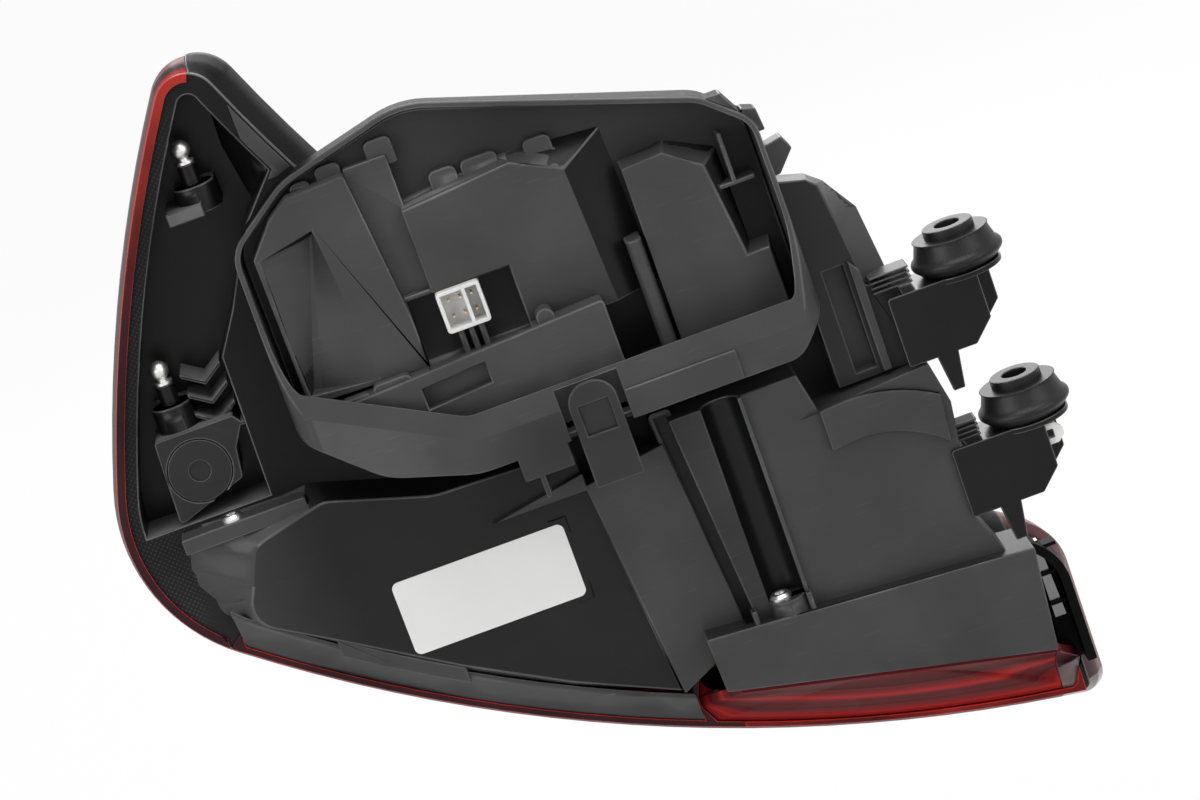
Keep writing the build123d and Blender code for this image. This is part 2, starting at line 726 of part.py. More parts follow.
# Lamp carrier: the moulded cover in the rim tower, with its leaning boxes
cover_inset = wall + cover_gap
with BuildPart() as lamp_carrier:
    block(rim_outline, cover_back_y - cover_wall, cover_back_y, rim_radii, inset=cover_inset)
    block(carrier_low, carrier_low_y, cover_back_y, carrier_round)
    block(carrier_left, carrier_left_y, cover_back_y, carrier_round)
    carrier_box(carrier_mid_front, carrier_mid_back, carrier_mid_y)
    carrier_box(carrier_right_front, carrier_right_back, carrier_mid_y)
    box_between(strip_x, (strip_y, cover_back_y), strip_z)
    for outline, near in carrier_cavities:
        block(outline, near + cover_wall, cover_back_y, inset=cover_wall, mode=Mode.SUBTRACT)
    # Facetted recess in the left box
    block(facet_recess, carrier_left_y + cover_wall / 2, carrier_left_y + facet_depth + cover_wall,
          inset=-facet_margin)
    loft([
        outline_sketch(carrier_left_y, facet_recess).face(),
        outline_sketch(carrier_left_y + facet_depth, facet_fold).face(),
    ], ruled=True, mode=Mode.SUBTRACT)
    # Recess and posts of the connector
    backed_recess(rectangle(*socket_recess), carrier_mid_y, socket_recess_y - carrier_mid_y, cover_wall)
    for step in range(plug_post_count):
        post_x = plug_x + (step - 1) * plug_post_pitch
        box_between((post_x - plug_post_width / 2, post_x + plug_post_width / 2),
                    (plug_y + wall, cover_back_y), (socket_recess[1][0] - wall, plug_low_z))
    # Slot in the lower block and the pillar between the boxes
    backed_recess(low_slot, carrier_low_y, low_slot_depth, cover_wall)
    with Locations((pillar_x, pillar_y, (pillar_z[0] + pillar_z[1]) / 2)):
        Cylinder(pillar_radius, pillar_z[1] - pillar_z[0])
    box_between((pillar_x - pillar_radius, pillar_x + pillar_radius), (pillar_y, cover_back_y), pillar_z)
    # Rounded tabs over the boxes and ribs at the right
    for tab_x, tab_z, tab_width in carrier_tabs:
        tab = rectangle((tab_x - tab_width / 2, tab_x + tab_width / 2), (tab_z - tab_height, tab_z))
        block(tab, tab_y, cover_back_y, (0, tab_round, tab_round, 0))
    for clip_x, clip_z, clip_width in ledge_clips:
        clip = rectangle((clip_x - clip_width / 2, clip_x + clip_width / 2), (clip_z - tab_height, clip_z))
        block(clip, ledge_clip_y[0], ledge_clip_y[1], (0, tab_round, tab_round, 0))
    with BuildSketch(at_depth(cover_back_y)):
        with Locations(carrier_boss):
            Circle(carrier_boss_radius)
    extrude(amount=cover_back_y - carrier_boss_y)
    for rib_x, rib_z in carrier_ribs:
        box_between(rib_x, (rib_y, cover_back_y), rib_z)
finish(lamp_carrier, "lamp_carrier")

# Gasket between the carrier and the floor of the rim tower
with BuildPart() as carrier_gasket:
    block(rim_outline, cover_back_y, back_y, rim_radii, inset=cover_inset)
    block(rim_outline, cover_back_y, back_y, rim_radii, inset=cover_inset + gasket_width, mode=Mode.SUBTRACT)
finish(carrier_gasket, "carrier_gasket")

# Connector: a white shroud with its mouth towards the car body, and its pins
with BuildPart() as connector_shroud:
    block(rectangle(plug_x_range, plug_z_range), plug_y, plug_far_y, plug_wall)
    bay_z = (plug_z_range[0] + plug_wall, plug_z_range[1] - plug_wall)
    for bay_x in plug_bays:
        box_between(bay_x, (plug_y, plug_floor_y), bay_z, mode=Mode.SUBTRACT)
    with Locations(plug_floor_plane):
        with GridLocations(*pin_pitch, *pin_grid):
            Box(pin_size, pin_size, pin_root, mode=Mode.SUBTRACT,
                align=(Align.CENTER, Align.CENTER, Align.MAX))
finish(connector_shroud, "connector_shroud")

with BuildPart() as connector_pins:
    with Locations(plug_floor_plane.offset(-pin_root)):
        with GridLocations(*pin_pitch, *pin_grid):
            Box(pin_size, pin_size, pin_length + pin_root, align=(Align.CENTER, Align.CENTER, Align.MIN))
finish(connector_pins, "connector_pins")


def make_bracket(axis_x, axis_z, left_x, front_left_x, name):
    """Bracket box under a fixing, open below."""
    top = axis_z + plate_z
    low = top - bracket_height
    right_x = axis_x + bracket_right
    side = (
        (front_left_x, low), (front_left_x, top), (right_x, top),
        (right_x, low + bracket_cut), (right_x - bracket_cut, low),
    )
    rear_x = right_x + bracket_rear_reach
    rear = (
        (left_x, low), (left_x, top), (rear_x - bracket_rear_reach / 2, top), (rear_x, top - bracket_cut),
        (rear_x, low + bracket_cut), (rear_x - bracket_cut, low),
    )
    hook_x = left_x + hook_offset
    hook = (
        (hook_x, low + wall), (hook_x + hook_width, low + wall),
        (hook_x + hook_width - wall, low - hook_length), (hook_x + wall, low - hook_length),
    )
    with BuildPart() as bracket:
        with BuildSketch(Plane.XY.offset(top - bracket_wall)):
            with Locations((axis_x, 0)):
                Circle(mount_base_radius - bracket_wall)
            with Locations(((left_x + axis_x) / 2, (bracket_near + bracket_far) / 2)):
                Rectangle(axis_x - left_x, bracket_far - bracket_near)
            with Locations((axis_x, 0)):
                Circle(insert_radius + fit_gap, mode=Mode.SUBTRACT)
        extrude(amount=bracket_wall)
        block(side, bracket_near, bracket_near + bracket_wall, bracket_round)
        block(rear, bracket_far - bracket_wall, bracket_far, bracket_round)
        box_between((left_x, left_x + bracket_wall), (bracket_near, bracket_far), (low, top))
        block(hook, bracket_near, bracket_near + bracket_wall)
    finish(bracket, name)


def make_rubber_mount(axis_x, axis_z, name):
    """Flanged rubber cup with a raised ring around the thread."""
    bore = insert_radius + fit_gap
    base_top_z = plate_z + mount_edge + mount_lip
    profile = (
        (bore, plate_z), (mount_base_radius - mount_edge, plate_z), (mount_base_radius, plate_z + mount_edge),
        (mount_base_radius, base_top_z), (mount_cup_radius + mount_lip, base_top_z + mount_lip),
        (mount_cup_radius, mount_ring_z - mount_edge - mount_draft),
        (mount_cup_radius + mount_draft, mount_ring_z - mount_edge),
        (mount_ring_radius, mount_ring_z - mount_edge),
        (mount_ring_radius, mount_ring_z), (bore, mount_ring_z),
    )
    with BuildPart() as mount:
        with BuildSketch(Plane(origin=(axis_x, 0, axis_z), x_dir=(1, 0, 0), z_dir=(0, -1, 0))):
            with BuildLine():
                Polyline(*profile, close=True)
            make_face()
        revolve(axis=Axis((axis_x, 0, axis_z), (0, 0, 1)))
    finish(mount, name)


def make_insert(axis_x, axis_z, name):
    """Threaded sleeve with a flange under the bracket plate."""
    flange_top = plate_z - bracket_wall
    with BuildPart() as insert:
        with Locations((axis_x, 0, axis_z)):
            Cylinder(insert_radius, insert_length, align=(Align.CENTER, Align.CENTER, Align.MAX))
        with Locations((axis_x, 0, axis_z + flange_top)):
            Cylinder(insert_flange_radius, insert_flange, align=(Align.CENTER, Align.CENTER, Align.MAX))
        with Locations((axis_x, 0, axis_z)):
            Cylinder(thread_radius, insert_length, mode=Mode.SUBTRACT,
                     align=(Align.CENTER, Align.CENTER, Align.MAX))
    finish(insert, name)


fixings = {
    "lower": ((0.0, 0.0), lower_pad_x, lower_pad_x - front_overlap),
    "upper": (upper_axis, chamber_right_x, chamber_right_x - front_overlap),
}
for side, ((axis_x, axis_z), left_x, front_left_x) in fixings.items():
    make_bracket(axis_x, axis_z, left_x, front_left_x, f"{side}_bracket")
    make_rubber_mount(axis_x, axis_z, f"{side}_rubber_mount")
    make_insert(axis_x, axis_z, f"{side}_threaded_insert")

# Clear clip on the lower bracket
with BuildPart() as bracket_clip:
    block(clip_outline, panel_y, panel_y + clip_thickness, clip_round)
    block(clip_window, panel_y, panel_y + clip_thickness, mode=Mode.SUBTRACT)
finish(bracket_clip, "bracket_clip")

# Trim frame on the flange at the right end of the lens, with its ribs, and the reflector strip in it
with BuildPart() as end_trim:
    trim_top = strip_of_lens(back_y, trim_inset, trim_x, trim_z)
    extrude(trim_top - strip_of_lens(back_y, trim_inset + trim_plate_inset, trim_x, trim_z), amount=trim_base)
    extrude(trim_top - strip_of_lens(back_y, trim_inset + trim_width, trim_x, trim_z), amount=back_y - trim_y)
    for rib_z in trim_ribs_z:
        box_between((end_strip[0][0], -trim_inset - trim_width), (trim_rib_y, back_y),
                    (rib_z, rib_z + trim_rib_thickness))
    for blocker in (housing.part, outer_lens.part, end_lens.part):
        add(blocker, mode=Mode.SUBTRACT)
    block(end_strip, end_strip_y, back_y - trim_base, mode=Mode.SUBTRACT)
finish(end_trim, "end_trim")

with BuildPart() as end_reflector:
    block(end_strip, end_strip_y, back_y - trim_base)
    add(housing.part, mode=Mode.SUBTRACT)
finish(end_reflector, "end_reflector")

# Ball studs
for side, (x, y, z) in stud_places.items():
    base_z = z + stud_post_height
    with BuildPart() as stud:
        with Locations((x, y, base_z)):
            Cylinder(stud_neck_radius, stud_shank_length, align=(Align.CENTER, Align.CENTER, Align.MAX))
            Cylinder(stud_neck_radius, stud_height - stud_post_height,
                     align=(Align.CENTER, Align.CENTER, Align.MIN))
            Cylinder(stud_collar_radius, stud_collar, align=(Align.CENTER, Align.CENTER, Align.MIN))
        with Locations((x, y, z + stud_height)):
            Sphere(ball_radius)
    finish(stud, f"{side}_ball_stud")

# Screws
for name, place in screw_places.items():
    with BuildPart() as screw:
        with Locations(place):
            Cylinder(screw_shank_radius, screw_shank_length, align=(Align.CENTER, Align.CENTER, Align.MAX))
            Cylinder(screw_head_radius, screw_head_height, align=(Align.CENTER, Align.CENTER, Align.MIN))
        chamfer(screw.edges().filter_by(GeomType.CIRCLE).sort_by(Axis.Z)[-1], screw_head_height / 2)
        with Locations(screw.faces().sort_by(Axis.Z)[-1]):
            Cylinder(screw_drive_radius, screw_head_height / 2, mode=Mode.SUBTRACT,
                     align=(Align.CENTER, Align.CENTER, Align.MAX))
    finish(screw, name)

# Round plug in the wing
with BuildPart(plug_plane) as wing_plug:
    Cylinder(plug_radius, plug_depth, align=(Align.CENTER, Align.CENTER, Align.MAX))
    Cylinder(plug_dish_radius, plug_dish_depth, mode=Mode.SUBTRACT,
             align=(Align.CENTER, Align.CENTER, Align.MAX))
    with BuildSketch():
        Circle(plug_groove[1])
        Circle(plug_groove[0], mode=Mode.SUBTRACT)
    extrude(amount=-plug_groove_depth, mode=Mode.SUBTRACT)
finish(wing_plug, "wing_plug")

# Label
with BuildPart() as label:
    with BuildSketch(at_depth(label_y)):
        with Locations(label_centre):
            RectangleRounded(label_size[0], label_size[1], label_radius)
    extrude(amount=label_thickness)
finish(label, "label")

# Inner bezel: a tub on the flange with a window for each lamp
with BuildPart() as inner_bezel:
    extrude(lens_section(bezel_y + bezel_wall, bezel_inset), amount=bezel_y + bezel_wall - weld_y)
    extrude(lens_section(bezel_y, bezel_inset + bezel_wall), amount=bezel_y - weld_y, mode=Mode.SUBTRACT)
    for lamp in lamp_windows.values():
        window = strip_of_lens(bezel_y + bezel_wall, window_inset, lamp["span"], (end_low[1], tip[1]))
        extrude(window, amount=bezel_wall, mode=Mode.SUBTRACT)
finish(inner_bezel, "inner_bezel")


def reflector_solid(lamp, extra, rear_y):
    """Leaning bowl from the bezel window back to its floor."""
    (x0, x1), (floor_x, floor_z) = lamp["span"], lamp["floor"]
    width, height = lamp["floor_size"]
    mouth = strip_of_lens(bezel_y, window_inset + extra, (x0 + extra, x1 - extra), (end_low[1], tip[1]))
    floor = rectangle((floor_x - width / 2 + extra, floor_x + width / 2 - extra),
                      (floor_z - height / 2 + extra, floor_z + height / 2 - extra))
    with BuildPart() as bowl:
        loft([mouth.face(), outline_sketch(rear_y, floor).face()], ruled=True)
    return bowl.part


# Lamp units: reflector, board and light sources behind each window
for name, lamp in lamp_windows.items():
    floor_x, floor_z = lamp["floor"]
    columns, rows = lamp["grid"]
    led_pitch = (lamp["floor_size"][0] / (columns + led_edge), lamp["floor_size"][1] / (rows + led_edge))
    board_y = reflector_floor_y - reflector_wall
    led_plane = Plane(origin=(floor_x, board_y, floor_z), x_dir=(1, 0, 0), z_dir=(0, 1, 0))
    with BuildPart() as reflector:
        add(reflector_solid(lamp, 0.0, board_y))
        rim = strip_of_lens(bezel_y, window_inset - reflector_rim,
                            (lamp["span"][0] - reflector_rim, lamp["span"][1] + reflector_rim),
                            (end_low[1], tip[1]))
        extrude(rim, amount=reflector_wall)
        add(reflector_solid(lamp, reflector_wall, reflector_floor_y), mode=Mode.SUBTRACT)
        with BuildSketch(led_plane):
            with GridLocations(led_pitch[0], led_pitch[1], columns, rows):
                Rectangle(led_size + 2 * led_gap, led_size + 2 * led_gap)
        extrude(amount=reflector_wall, mode=Mode.SUBTRACT)
    finish(reflector, f"{name}_reflector")

    with BuildPart() as board:
        with BuildSketch(led_plane):
            Rectangle(lamp["floor_size"][0] + board_margin, lamp["floor_size"][1] + board_margin)
        extrude(amount=-board_thickness)
    finish(board, f"{name}_board")

    with BuildPart() as leds:
        with BuildSketch(led_plane):
            with GridLocations(led_pitch[0], led_pitch[1], columns, rows):
                Rectangle(led_size, led_size)
        extrude(amount=led_height)
    finish(leds, f"{name}_leds")

# Light guide of the tail lamp, lying on the bezel along the lens edge
with BuildPart() as tail_light_guide:
    guide_y = bezel_y + bezel_wall + guide_width
    guide_span = ((low_corner[0], guide_end_x), (end_low[1], tip[1]))
    extrude(strip_of_lens(guide_y, guide_inset, *guide_span), amount=guide_width)
    extrude(strip_of_lens(guide_y, guide_inset + guide_width, *guide_span), amount=guide_width,
            mode=Mode.SUBTRACT)
    block(guide_cut, guide_y - guide_width, guide_y, mode=Mode.SUBTRACT)
finish(tail_light_guide, "tail_light_guide")

# Driver board on the floor of the rim tower
with BuildPart() as driver_board:
    with BuildSketch(at_depth(back_y)):
        with Locations(driver_board_centre):
            Rectangle(driver_board_size[0], driver_board_size[1])
    extrude(amount=board_thickness)
finish(driver_board, "driver_board")
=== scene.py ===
# %% [markdown]
# # A tail light cluster, from the side that meets the car
#
# A rear lamp is a black moulded housing with a red lens welded round its edge. From the car's side the lens
# is only a thin red line, and the eye goes to the moulding: panels, a deep rim, ribs, clips and fixings.
# The solid parts come ready from the CAD model. This lesson gives them rounded edges and finishes, and adds
# the small things that a moulded part has. First the model is loaded, and its box is kept for the floor, the
# lamps and two zones.

# %% Load the model
import json
import math

import bpy
from mathutils import Matrix, Vector


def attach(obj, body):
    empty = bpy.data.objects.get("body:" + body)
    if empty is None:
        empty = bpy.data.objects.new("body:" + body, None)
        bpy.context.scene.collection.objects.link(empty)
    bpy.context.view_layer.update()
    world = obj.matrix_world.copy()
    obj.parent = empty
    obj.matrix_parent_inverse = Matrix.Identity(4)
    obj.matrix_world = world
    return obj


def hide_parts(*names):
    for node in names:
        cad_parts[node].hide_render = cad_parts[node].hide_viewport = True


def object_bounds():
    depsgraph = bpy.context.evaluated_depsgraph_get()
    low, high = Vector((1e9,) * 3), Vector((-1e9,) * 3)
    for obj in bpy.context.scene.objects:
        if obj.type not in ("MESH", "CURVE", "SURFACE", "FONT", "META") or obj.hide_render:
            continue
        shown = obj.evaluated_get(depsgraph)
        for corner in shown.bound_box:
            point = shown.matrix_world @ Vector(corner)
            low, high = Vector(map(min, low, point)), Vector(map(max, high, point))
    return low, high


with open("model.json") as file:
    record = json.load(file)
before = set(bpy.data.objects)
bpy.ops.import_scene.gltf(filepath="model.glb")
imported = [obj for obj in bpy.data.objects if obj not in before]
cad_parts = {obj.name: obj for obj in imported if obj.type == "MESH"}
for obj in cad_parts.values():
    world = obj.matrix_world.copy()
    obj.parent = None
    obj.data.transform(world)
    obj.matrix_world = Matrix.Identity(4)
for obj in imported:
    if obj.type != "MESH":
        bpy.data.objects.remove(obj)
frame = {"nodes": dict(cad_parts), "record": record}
cad_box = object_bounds()
nodes = frame["nodes"]
millimetre = 0.001
print("nodes", len(nodes), "box", [round(c, 3) for corner in cad_box for c in corner])

# %% [markdown]
# ## Camera
#
# A product photograph is taken from far away with a long lens, so that straight edges stay nearly parallel.
# The camera looks a little down on the lamp and is rolled, because the lamp was laid down at an angle.
# A camera's axes are the columns of its matrix, so three unit vectors say exactly how it is turned.

# %% Camera
view_rise = math.radians(15)
view_roll = math.radians(20)
view_distance = 1.6
view_target = Vector((-0.1685, 0.0, 0.0626))
view_lens = 114.3

view_back = Vector((0, -math.cos(view_rise), math.sin(view_rise)))
level_up = Vector((0, math.sin(view_rise), math.cos(view_rise)))
level_right = Vector((1, 0, 0))
view_right = level_right * math.cos(view_roll) - level_up * math.sin(view_roll)
view_up = level_right * math.sin(view_roll) + level_up * math.cos(view_roll)

camera_data = bpy.data.cameras.new("camera")
camera_data.lens = view_lens
camera = bpy.data.objects.new("camera", camera_data)
bpy.context.scene.collection.objects.link(camera)
turn = Matrix((view_right, view_up, view_back)).transposed().to_4x4()
camera.matrix_world = Matrix.Translation(view_target + view_back * view_distance) @ turn
bpy.context.scene.camera = camera
bpy.context.scene.view_settings.view_transform = "Standard"
print("camera at", [round(c, 3) for c in camera.matrix_world.translation])

# %% [markdown]
# ## White surroundings
#
# The picture's background is plain white. More light would wash out the black plastic, so the floor and the
# world only look white: a ray from the camera, a mirror or clear plastic meets a white glow, and every other
# ray meets a plain surface. One helper builds that mix of shaders, and it serves the floor and the world.

# %% White to sight


def new_node(tree, kind, **values):
    """A new node in a tree, with its settings and plain socket values."""
    made = tree.nodes.new(kind)
    for name, value in values.items():
        if hasattr(made, name):
            setattr(made, name, value)
        else:
            made.inputs[name.replace("_", " ")].default_value = value
    return made


def white_to_sight(tree, plain_output, surface_input, most):
    """Mixes a plain shader with a white glow for rays that look at it."""
    path = new_node(tree, "ShaderNodeLightPath")
    seen = new_node(tree, "ShaderNodeMath", operation="MAXIMUM")
    looks = new_node(tree, "ShaderNodeMath", operation="MAXIMUM")
    share = new_node(tree, "ShaderNodeMath", operation="MULTIPLY")
    share.inputs[1].default_value = most
    glow = new_node(tree, "ShaderNodeEmission")
    blend = new_node(tree, "ShaderNodeMixShader")
    tree.links.new(path.outputs["Is Camera Ray"], seen.inputs[0])
    tree.links.new(path.outputs["Is Glossy Ray"], seen.inputs[1])
    tree.links.new(seen.outputs[0], looks.inputs[0])
    tree.links.new(path.outputs["Is Transmission Ray"], looks.inputs[1])
    tree.links.new(looks.outputs[0], share.inputs[0])
    tree.links.new(share.outputs[0], blend.inputs["Fac"])
    tree.links.new(plain_output, blend.inputs[1])
    tree.links.new(glow.outputs[0], blend.inputs[2])
    tree.links.new(blend.outputs[0], surface_input)


print("helper", white_to_sight.__name__)

# %% [markdown]
# ## Floor
#
# The lamp floats a little above a wide floor, which takes its shadow. A small share of the plain floor stays
# in the mix, because a floor that only glows would show no shadow at all.

# %% Floor
floor_gap = 0.10
floor_size = 12.0
floor_shadow = 0.05
floor_colour = (0.9, 0.9, 0.9, 1)
floor_roughness = 0.9


def deselect():
    """Leaves nothing selected, because operators act on all that is selected."""
    bpy.ops.object.select_all(action="DESELECT")


deselect()
bpy.ops.mesh.primitive_plane_add(size=floor_size, location=(0, 0, cad_box[0].z - floor_gap))
floor = bpy.context.object
floor.name = "floor"
floor_material = bpy.data.materials.new("pale_floor")
floor_material.use_nodes = True
floor_tree = floor_material.node_tree
floor_plain = floor_tree.nodes["Principled BSDF"]
floor_plain.inputs["Base Color"].default_value = floor_colour
floor_plain.inputs["Roughness"].default_value = floor_roughness
floor_surface = floor_tree.nodes["Material Output"].inputs["Surface"]
white_to_sight(floor_tree, floor_plain.outputs[0], floor_surface, 1 - floor_shadow)
floor.data.materials.append(floor_material)
print("floor at", round(floor.location.z, 3))

# %% [markdown]
# ## World
#
# The world gives a weak even light from all sides, so that no pocket is quite black. It looks white in the
# same way as the floor, and needs no share of its plain colour.

# %% World
world_colour = (1, 1, 1, 1)
world_strength = 0.22
world = bpy.data.worlds.new("studio")
bpy.context.scene.world = world
world.use_nodes = True
sky = world.node_tree.nodes["Background"]
sky.inputs["Color"].default_value = world_colour
sky.inputs["Strength"].default_value = world_strength
sky_surface = world.node_tree.nodes["World Output"].inputs["Surface"]
white_to_sight(world.node_tree, sky.outputs[0], sky_surface, 1.0)
print("world", world.name, "strength", world_strength)

# %% [markdown]
# ## Lamps
#
# Black plastic has almost no colour of its own: what is seen is the light on it. A wide lamp above lights the
# ledges that face up, and one at each side of the camera shows which way the walls lean. A fourth lamp stands
# behind, for the lens side. Each has its way from the middle of the model, and its power in watts.

# %% Lamps
lamp_size = 1.2
lamps = {
    "top_lamp": (Vector((0.2, -0.35, 1.5)), 20),
    "left_lamp": (Vector((-1.5, -1.5, 0.7)), 18),
    "right_lamp": (Vector((1.5, -1.4, 0.6)), 11),
    "back_lamp": (Vector((0.2, 1.6, 0.8)), 14),
}


def soft_lamp(name, place, aim, power):
    """A square lamp at a place, turned towards a point."""
    lamp_data = bpy.data.lights.new(name, "AREA")
    lamp_data.size = lamp_size
    lamp_data.energy = power
    lamp = bpy.data.objects.new(name, lamp_data)
    lamp.location = place
    lamp.rotation_euler = (aim - place).to_track_quat("-Z", "Y").to_euler()
    bpy.context.scene.collection.objects.link(lamp)


middle = (cad_box[0] + cad_box[1]) / 2
for name, (way, power) in lamps.items():
    soft_lamp(name, middle + way, middle, power)
print("lamps", len(bpy.data.lights))

# %% [markdown]
# ## Node groups
#
# An effect that several finishes share is built once, as a node group with named inputs and outputs, and each
# finish places it with its own values. A group gives values only, and the shader stays in the finish.

# %% Helper for node groups


def new_group(name, takes, gives):
    """An empty shader node group with named value sockets."""
    group = bpy.data.node_groups.new(name, "ShaderNodeTree")
    for socket, start in takes.items():
        made = group.interface.new_socket(socket, in_out="INPUT", socket_type="NodeSocketFloat")
        made.default_value = start
    for socket in gives:
        group.interface.new_socket(socket, in_out="OUTPUT", socket_type="NodeSocketFloat")
    return group, new_node(group, "NodeGroupInput"), new_node(group, "NodeGroupOutput")


print("helper", new_group.__name__)

# %% [markdown]
# ## Effects of moulding
#
# A moulded part shows the same few things in every plastic: a fine spark grain from the mould, clouds where
# the melt flowed, and hair scratches from handling. Scratches are a noise that is squeezed along one slanting
# direction and cut off high, so that only its thin crests are left.

# %% Group for moulded plastic
grain_scale = 2600.0
cloud_scale = 22.0
cloud_low = 0.3
cloud_high = 0.7
hair_turn = (0.3, 0.5, 0.4)
hair_stretch = (70, 70, 1400)
hair_start = 0.64
hair_full = 0.74
moulded, takes, gives = new_group("moulded", {"Grain": grain_scale, "Clouds": 0.25, "Scratches": 0.5},
                                  ("Tone", "Wear", "Height"))
point = new_node(moulded, "ShaderNodeTexCoord").outputs["Object"]
grain = new_node(moulded, "ShaderNodeTexNoise", Detail=2.0)
cloud = new_node(moulded, "ShaderNodeTexNoise", Scale=cloud_scale, Detail=3.0)
stretch = new_node(moulded, "ShaderNodeMapping", Rotation=hair_turn, Scale=hair_stretch)
hair = new_node(moulded, "ShaderNodeTexNoise", Scale=1.0, Detail=3.0)
hair_lines = new_node(moulded, "ShaderNodeMapRange", From_Min=hair_start, From_Max=hair_full)
spread = new_node(moulded, "ShaderNodeMapRange", From_Min=cloud_low, From_Max=cloud_high,
                  To_Min=-1.0, To_Max=1.0)
cloud_part = new_node(moulded, "ShaderNodeMath", operation="MULTIPLY")
hair_part = new_node(moulded, "ShaderNodeMath", operation="MULTIPLY")
tone = new_node(moulded, "ShaderNodeMath", operation="ADD")
whole_tone = new_node(moulded, "ShaderNodeMath", operation="ADD")
whole_tone.inputs[1].default_value = 1.0
moulded.links.new(point, grain.inputs["Vector"])
moulded.links.new(takes.outputs["Grain"], grain.inputs["Scale"])
moulded.links.new(point, cloud.inputs["Vector"])
moulded.links.new(point, stretch.inputs["Vector"])
moulded.links.new(stretch.outputs[0], hair.inputs["Vector"])
moulded.links.new(hair.outputs["Fac"], hair_lines.inputs["Value"])
moulded.links.new(cloud.outputs["Fac"], spread.inputs["Value"])
moulded.links.new(spread.outputs[0], cloud_part.inputs[0])
moulded.links.new(takes.outputs["Clouds"], cloud_part.inputs[1])
moulded.links.new(hair_lines.outputs[0], hair_part.inputs[0])
moulded.links.new(takes.outputs["Scratches"], hair_part.inputs[1])
moulded.links.new(cloud_part.outputs[0], tone.inputs[0])
moulded.links.new(hair_part.outputs[0], tone.inputs[1])
moulded.links.new(tone.outputs[0], whole_tone.inputs[0])
moulded.links.new(whole_tone.outputs[0], gives.inputs["Tone"])
moulded.links.new(hair_part.outputs[0], gives.inputs["Wear"])
moulded.links.new(grain.outputs["Fac"], gives.inputs["Height"])
print("group", moulded.name, "nodes", len(moulded.nodes))

# %% [markdown]
# ## Fade along a face
#
# Some finishes fade along a long face, which paints light and shade across it, and dots begin at a line
# across the flange. Another group tells how far a point lies along a line in the part, from 0 at the line's
# start to 1 at its end. The line's direction is given by its shares of X and Z, so that it may slant.

# %% Group for a fade
along_x = (1, 0)
along_z = (0, 1)
fade, takes, gives = new_group("fade", {"Along X": 1.0, "Along Z": 0.0, "Start": 0.0, "End": 1.0}, ("Share",))
point = new_node(fade, "ShaderNodeTexCoord").outputs["Object"]
parts = new_node(fade, "ShaderNodeSeparateXYZ")
sideways = new_node(fade, "ShaderNodeMath", operation="MULTIPLY")
distance = new_node(fade, "ShaderNodeMath", operation="MULTIPLY_ADD")
share = new_node(fade, "ShaderNodeMapRange")
fade.links.new(point, parts.inputs[0])
fade.links.new(parts.outputs["X"], sideways.inputs[0])
fade.links.new(takes.outputs["Along X"], sideways.inputs[1])
fade.links.new(parts.outputs["Z"], distance.inputs[0])
fade.links.new(takes.outputs["Along Z"], distance.inputs[1])
fade.links.new(sideways.outputs[0], distance.inputs[2])
fade.links.new(distance.outputs[0], share.inputs["Value"])
fade.links.new(takes.outputs["Start"], share.inputs["From Min"])
fade.links.new(takes.outputs["End"], share.inputs["From Max"])
fade.links.new(share.outputs[0], gives.inputs["Share"])


def fade_share(tree, along, start, end):
    """The output of a fade that is placed in a finish."""
    by_x, by_z = along
    placed = new_node(tree, "ShaderNodeGroup", node_tree=fade, Along_X=by_x, Along_Z=by_z,
                      Start=start, End=end)
    return placed.outputs["Share"]


print("group", fade.name, "nodes", len(fade.nodes))

# %% [markdown]
# ## How a plastic is made
#
# One helper makes every plastic from its colour, its roughness and the strength of the shared effects. Where
# a finish fades, its colour is mixed with a second one. Black plastic is never quite neutral, so a grey is
# given by its tone and by how much its blue differs.

# %% A plastic
wear_gloss = -0.1
grain_strength = 0.35


def grey(tone, blue=0.0005):
    """A grey whose blue differs a little from its red and green."""
    return (tone, tone, tone + blue)


def plastic(name, colour, roughness, shine=0.2, grain_mm=0.02, clouds=0.2, scratches=0.4, grain=grain_scale,
            fade_to=None):
    """A moulded plastic, whose colour may fade to a second one along a line."""
    material = bpy.data.materials.new(name)
    material.use_nodes = True
    tree = material.node_tree
    shader = tree.nodes["Principled BSDF"]
    shader.inputs["Specular IOR Level"].default_value = shine
    effect = new_node(tree, "ShaderNodeGroup", node_tree=moulded, Grain=grain, Clouds=clouds,
                      Scratches=scratches)
    tint = new_node(tree, "ShaderNodeMix", data_type="RGBA", blend_type="MULTIPLY", Factor=1.0)
    tint.inputs["A"].default_value = (*colour, 1)
    rough = new_node(tree, "ShaderNodeMath", operation="MULTIPLY_ADD")
    rough.inputs[1].default_value = wear_gloss
    rough.inputs[2].default_value = roughness
    bump = new_node(tree, "ShaderNodeBump", Strength=grain_strength, Distance=grain_mm * millimetre)
    if fade_to:
        along, start, end, far_colour = fade_to
        blend = new_node(tree, "ShaderNodeMix", data_type="RGBA")
        blend.inputs["A"].default_value = (*colour, 1)
        blend.inputs["B"].default_value = (*far_colour, 1)
        tree.links.new(fade_share(tree, along, start, end), blend.inputs["Factor"])
        tree.links.new(blend.outputs["Result"], tint.inputs["A"])
    tree.links.new(effect.outputs["Tone"], tint.inputs["B"])
    tree.links.new(tint.outputs["Result"], shader.inputs["Base Color"])
    tree.links.new(effect.outputs["Wear"], rough.inputs[0])
    tree.links.new(rough.outputs[0], shader.inputs["Roughness"])
    tree.links.new(effect.outputs["Height"], bump.inputs["Height"])
    tree.links.new(bump.outputs[0], shader.inputs["Normal"])
    return material


print("helper", plastic.__name__)
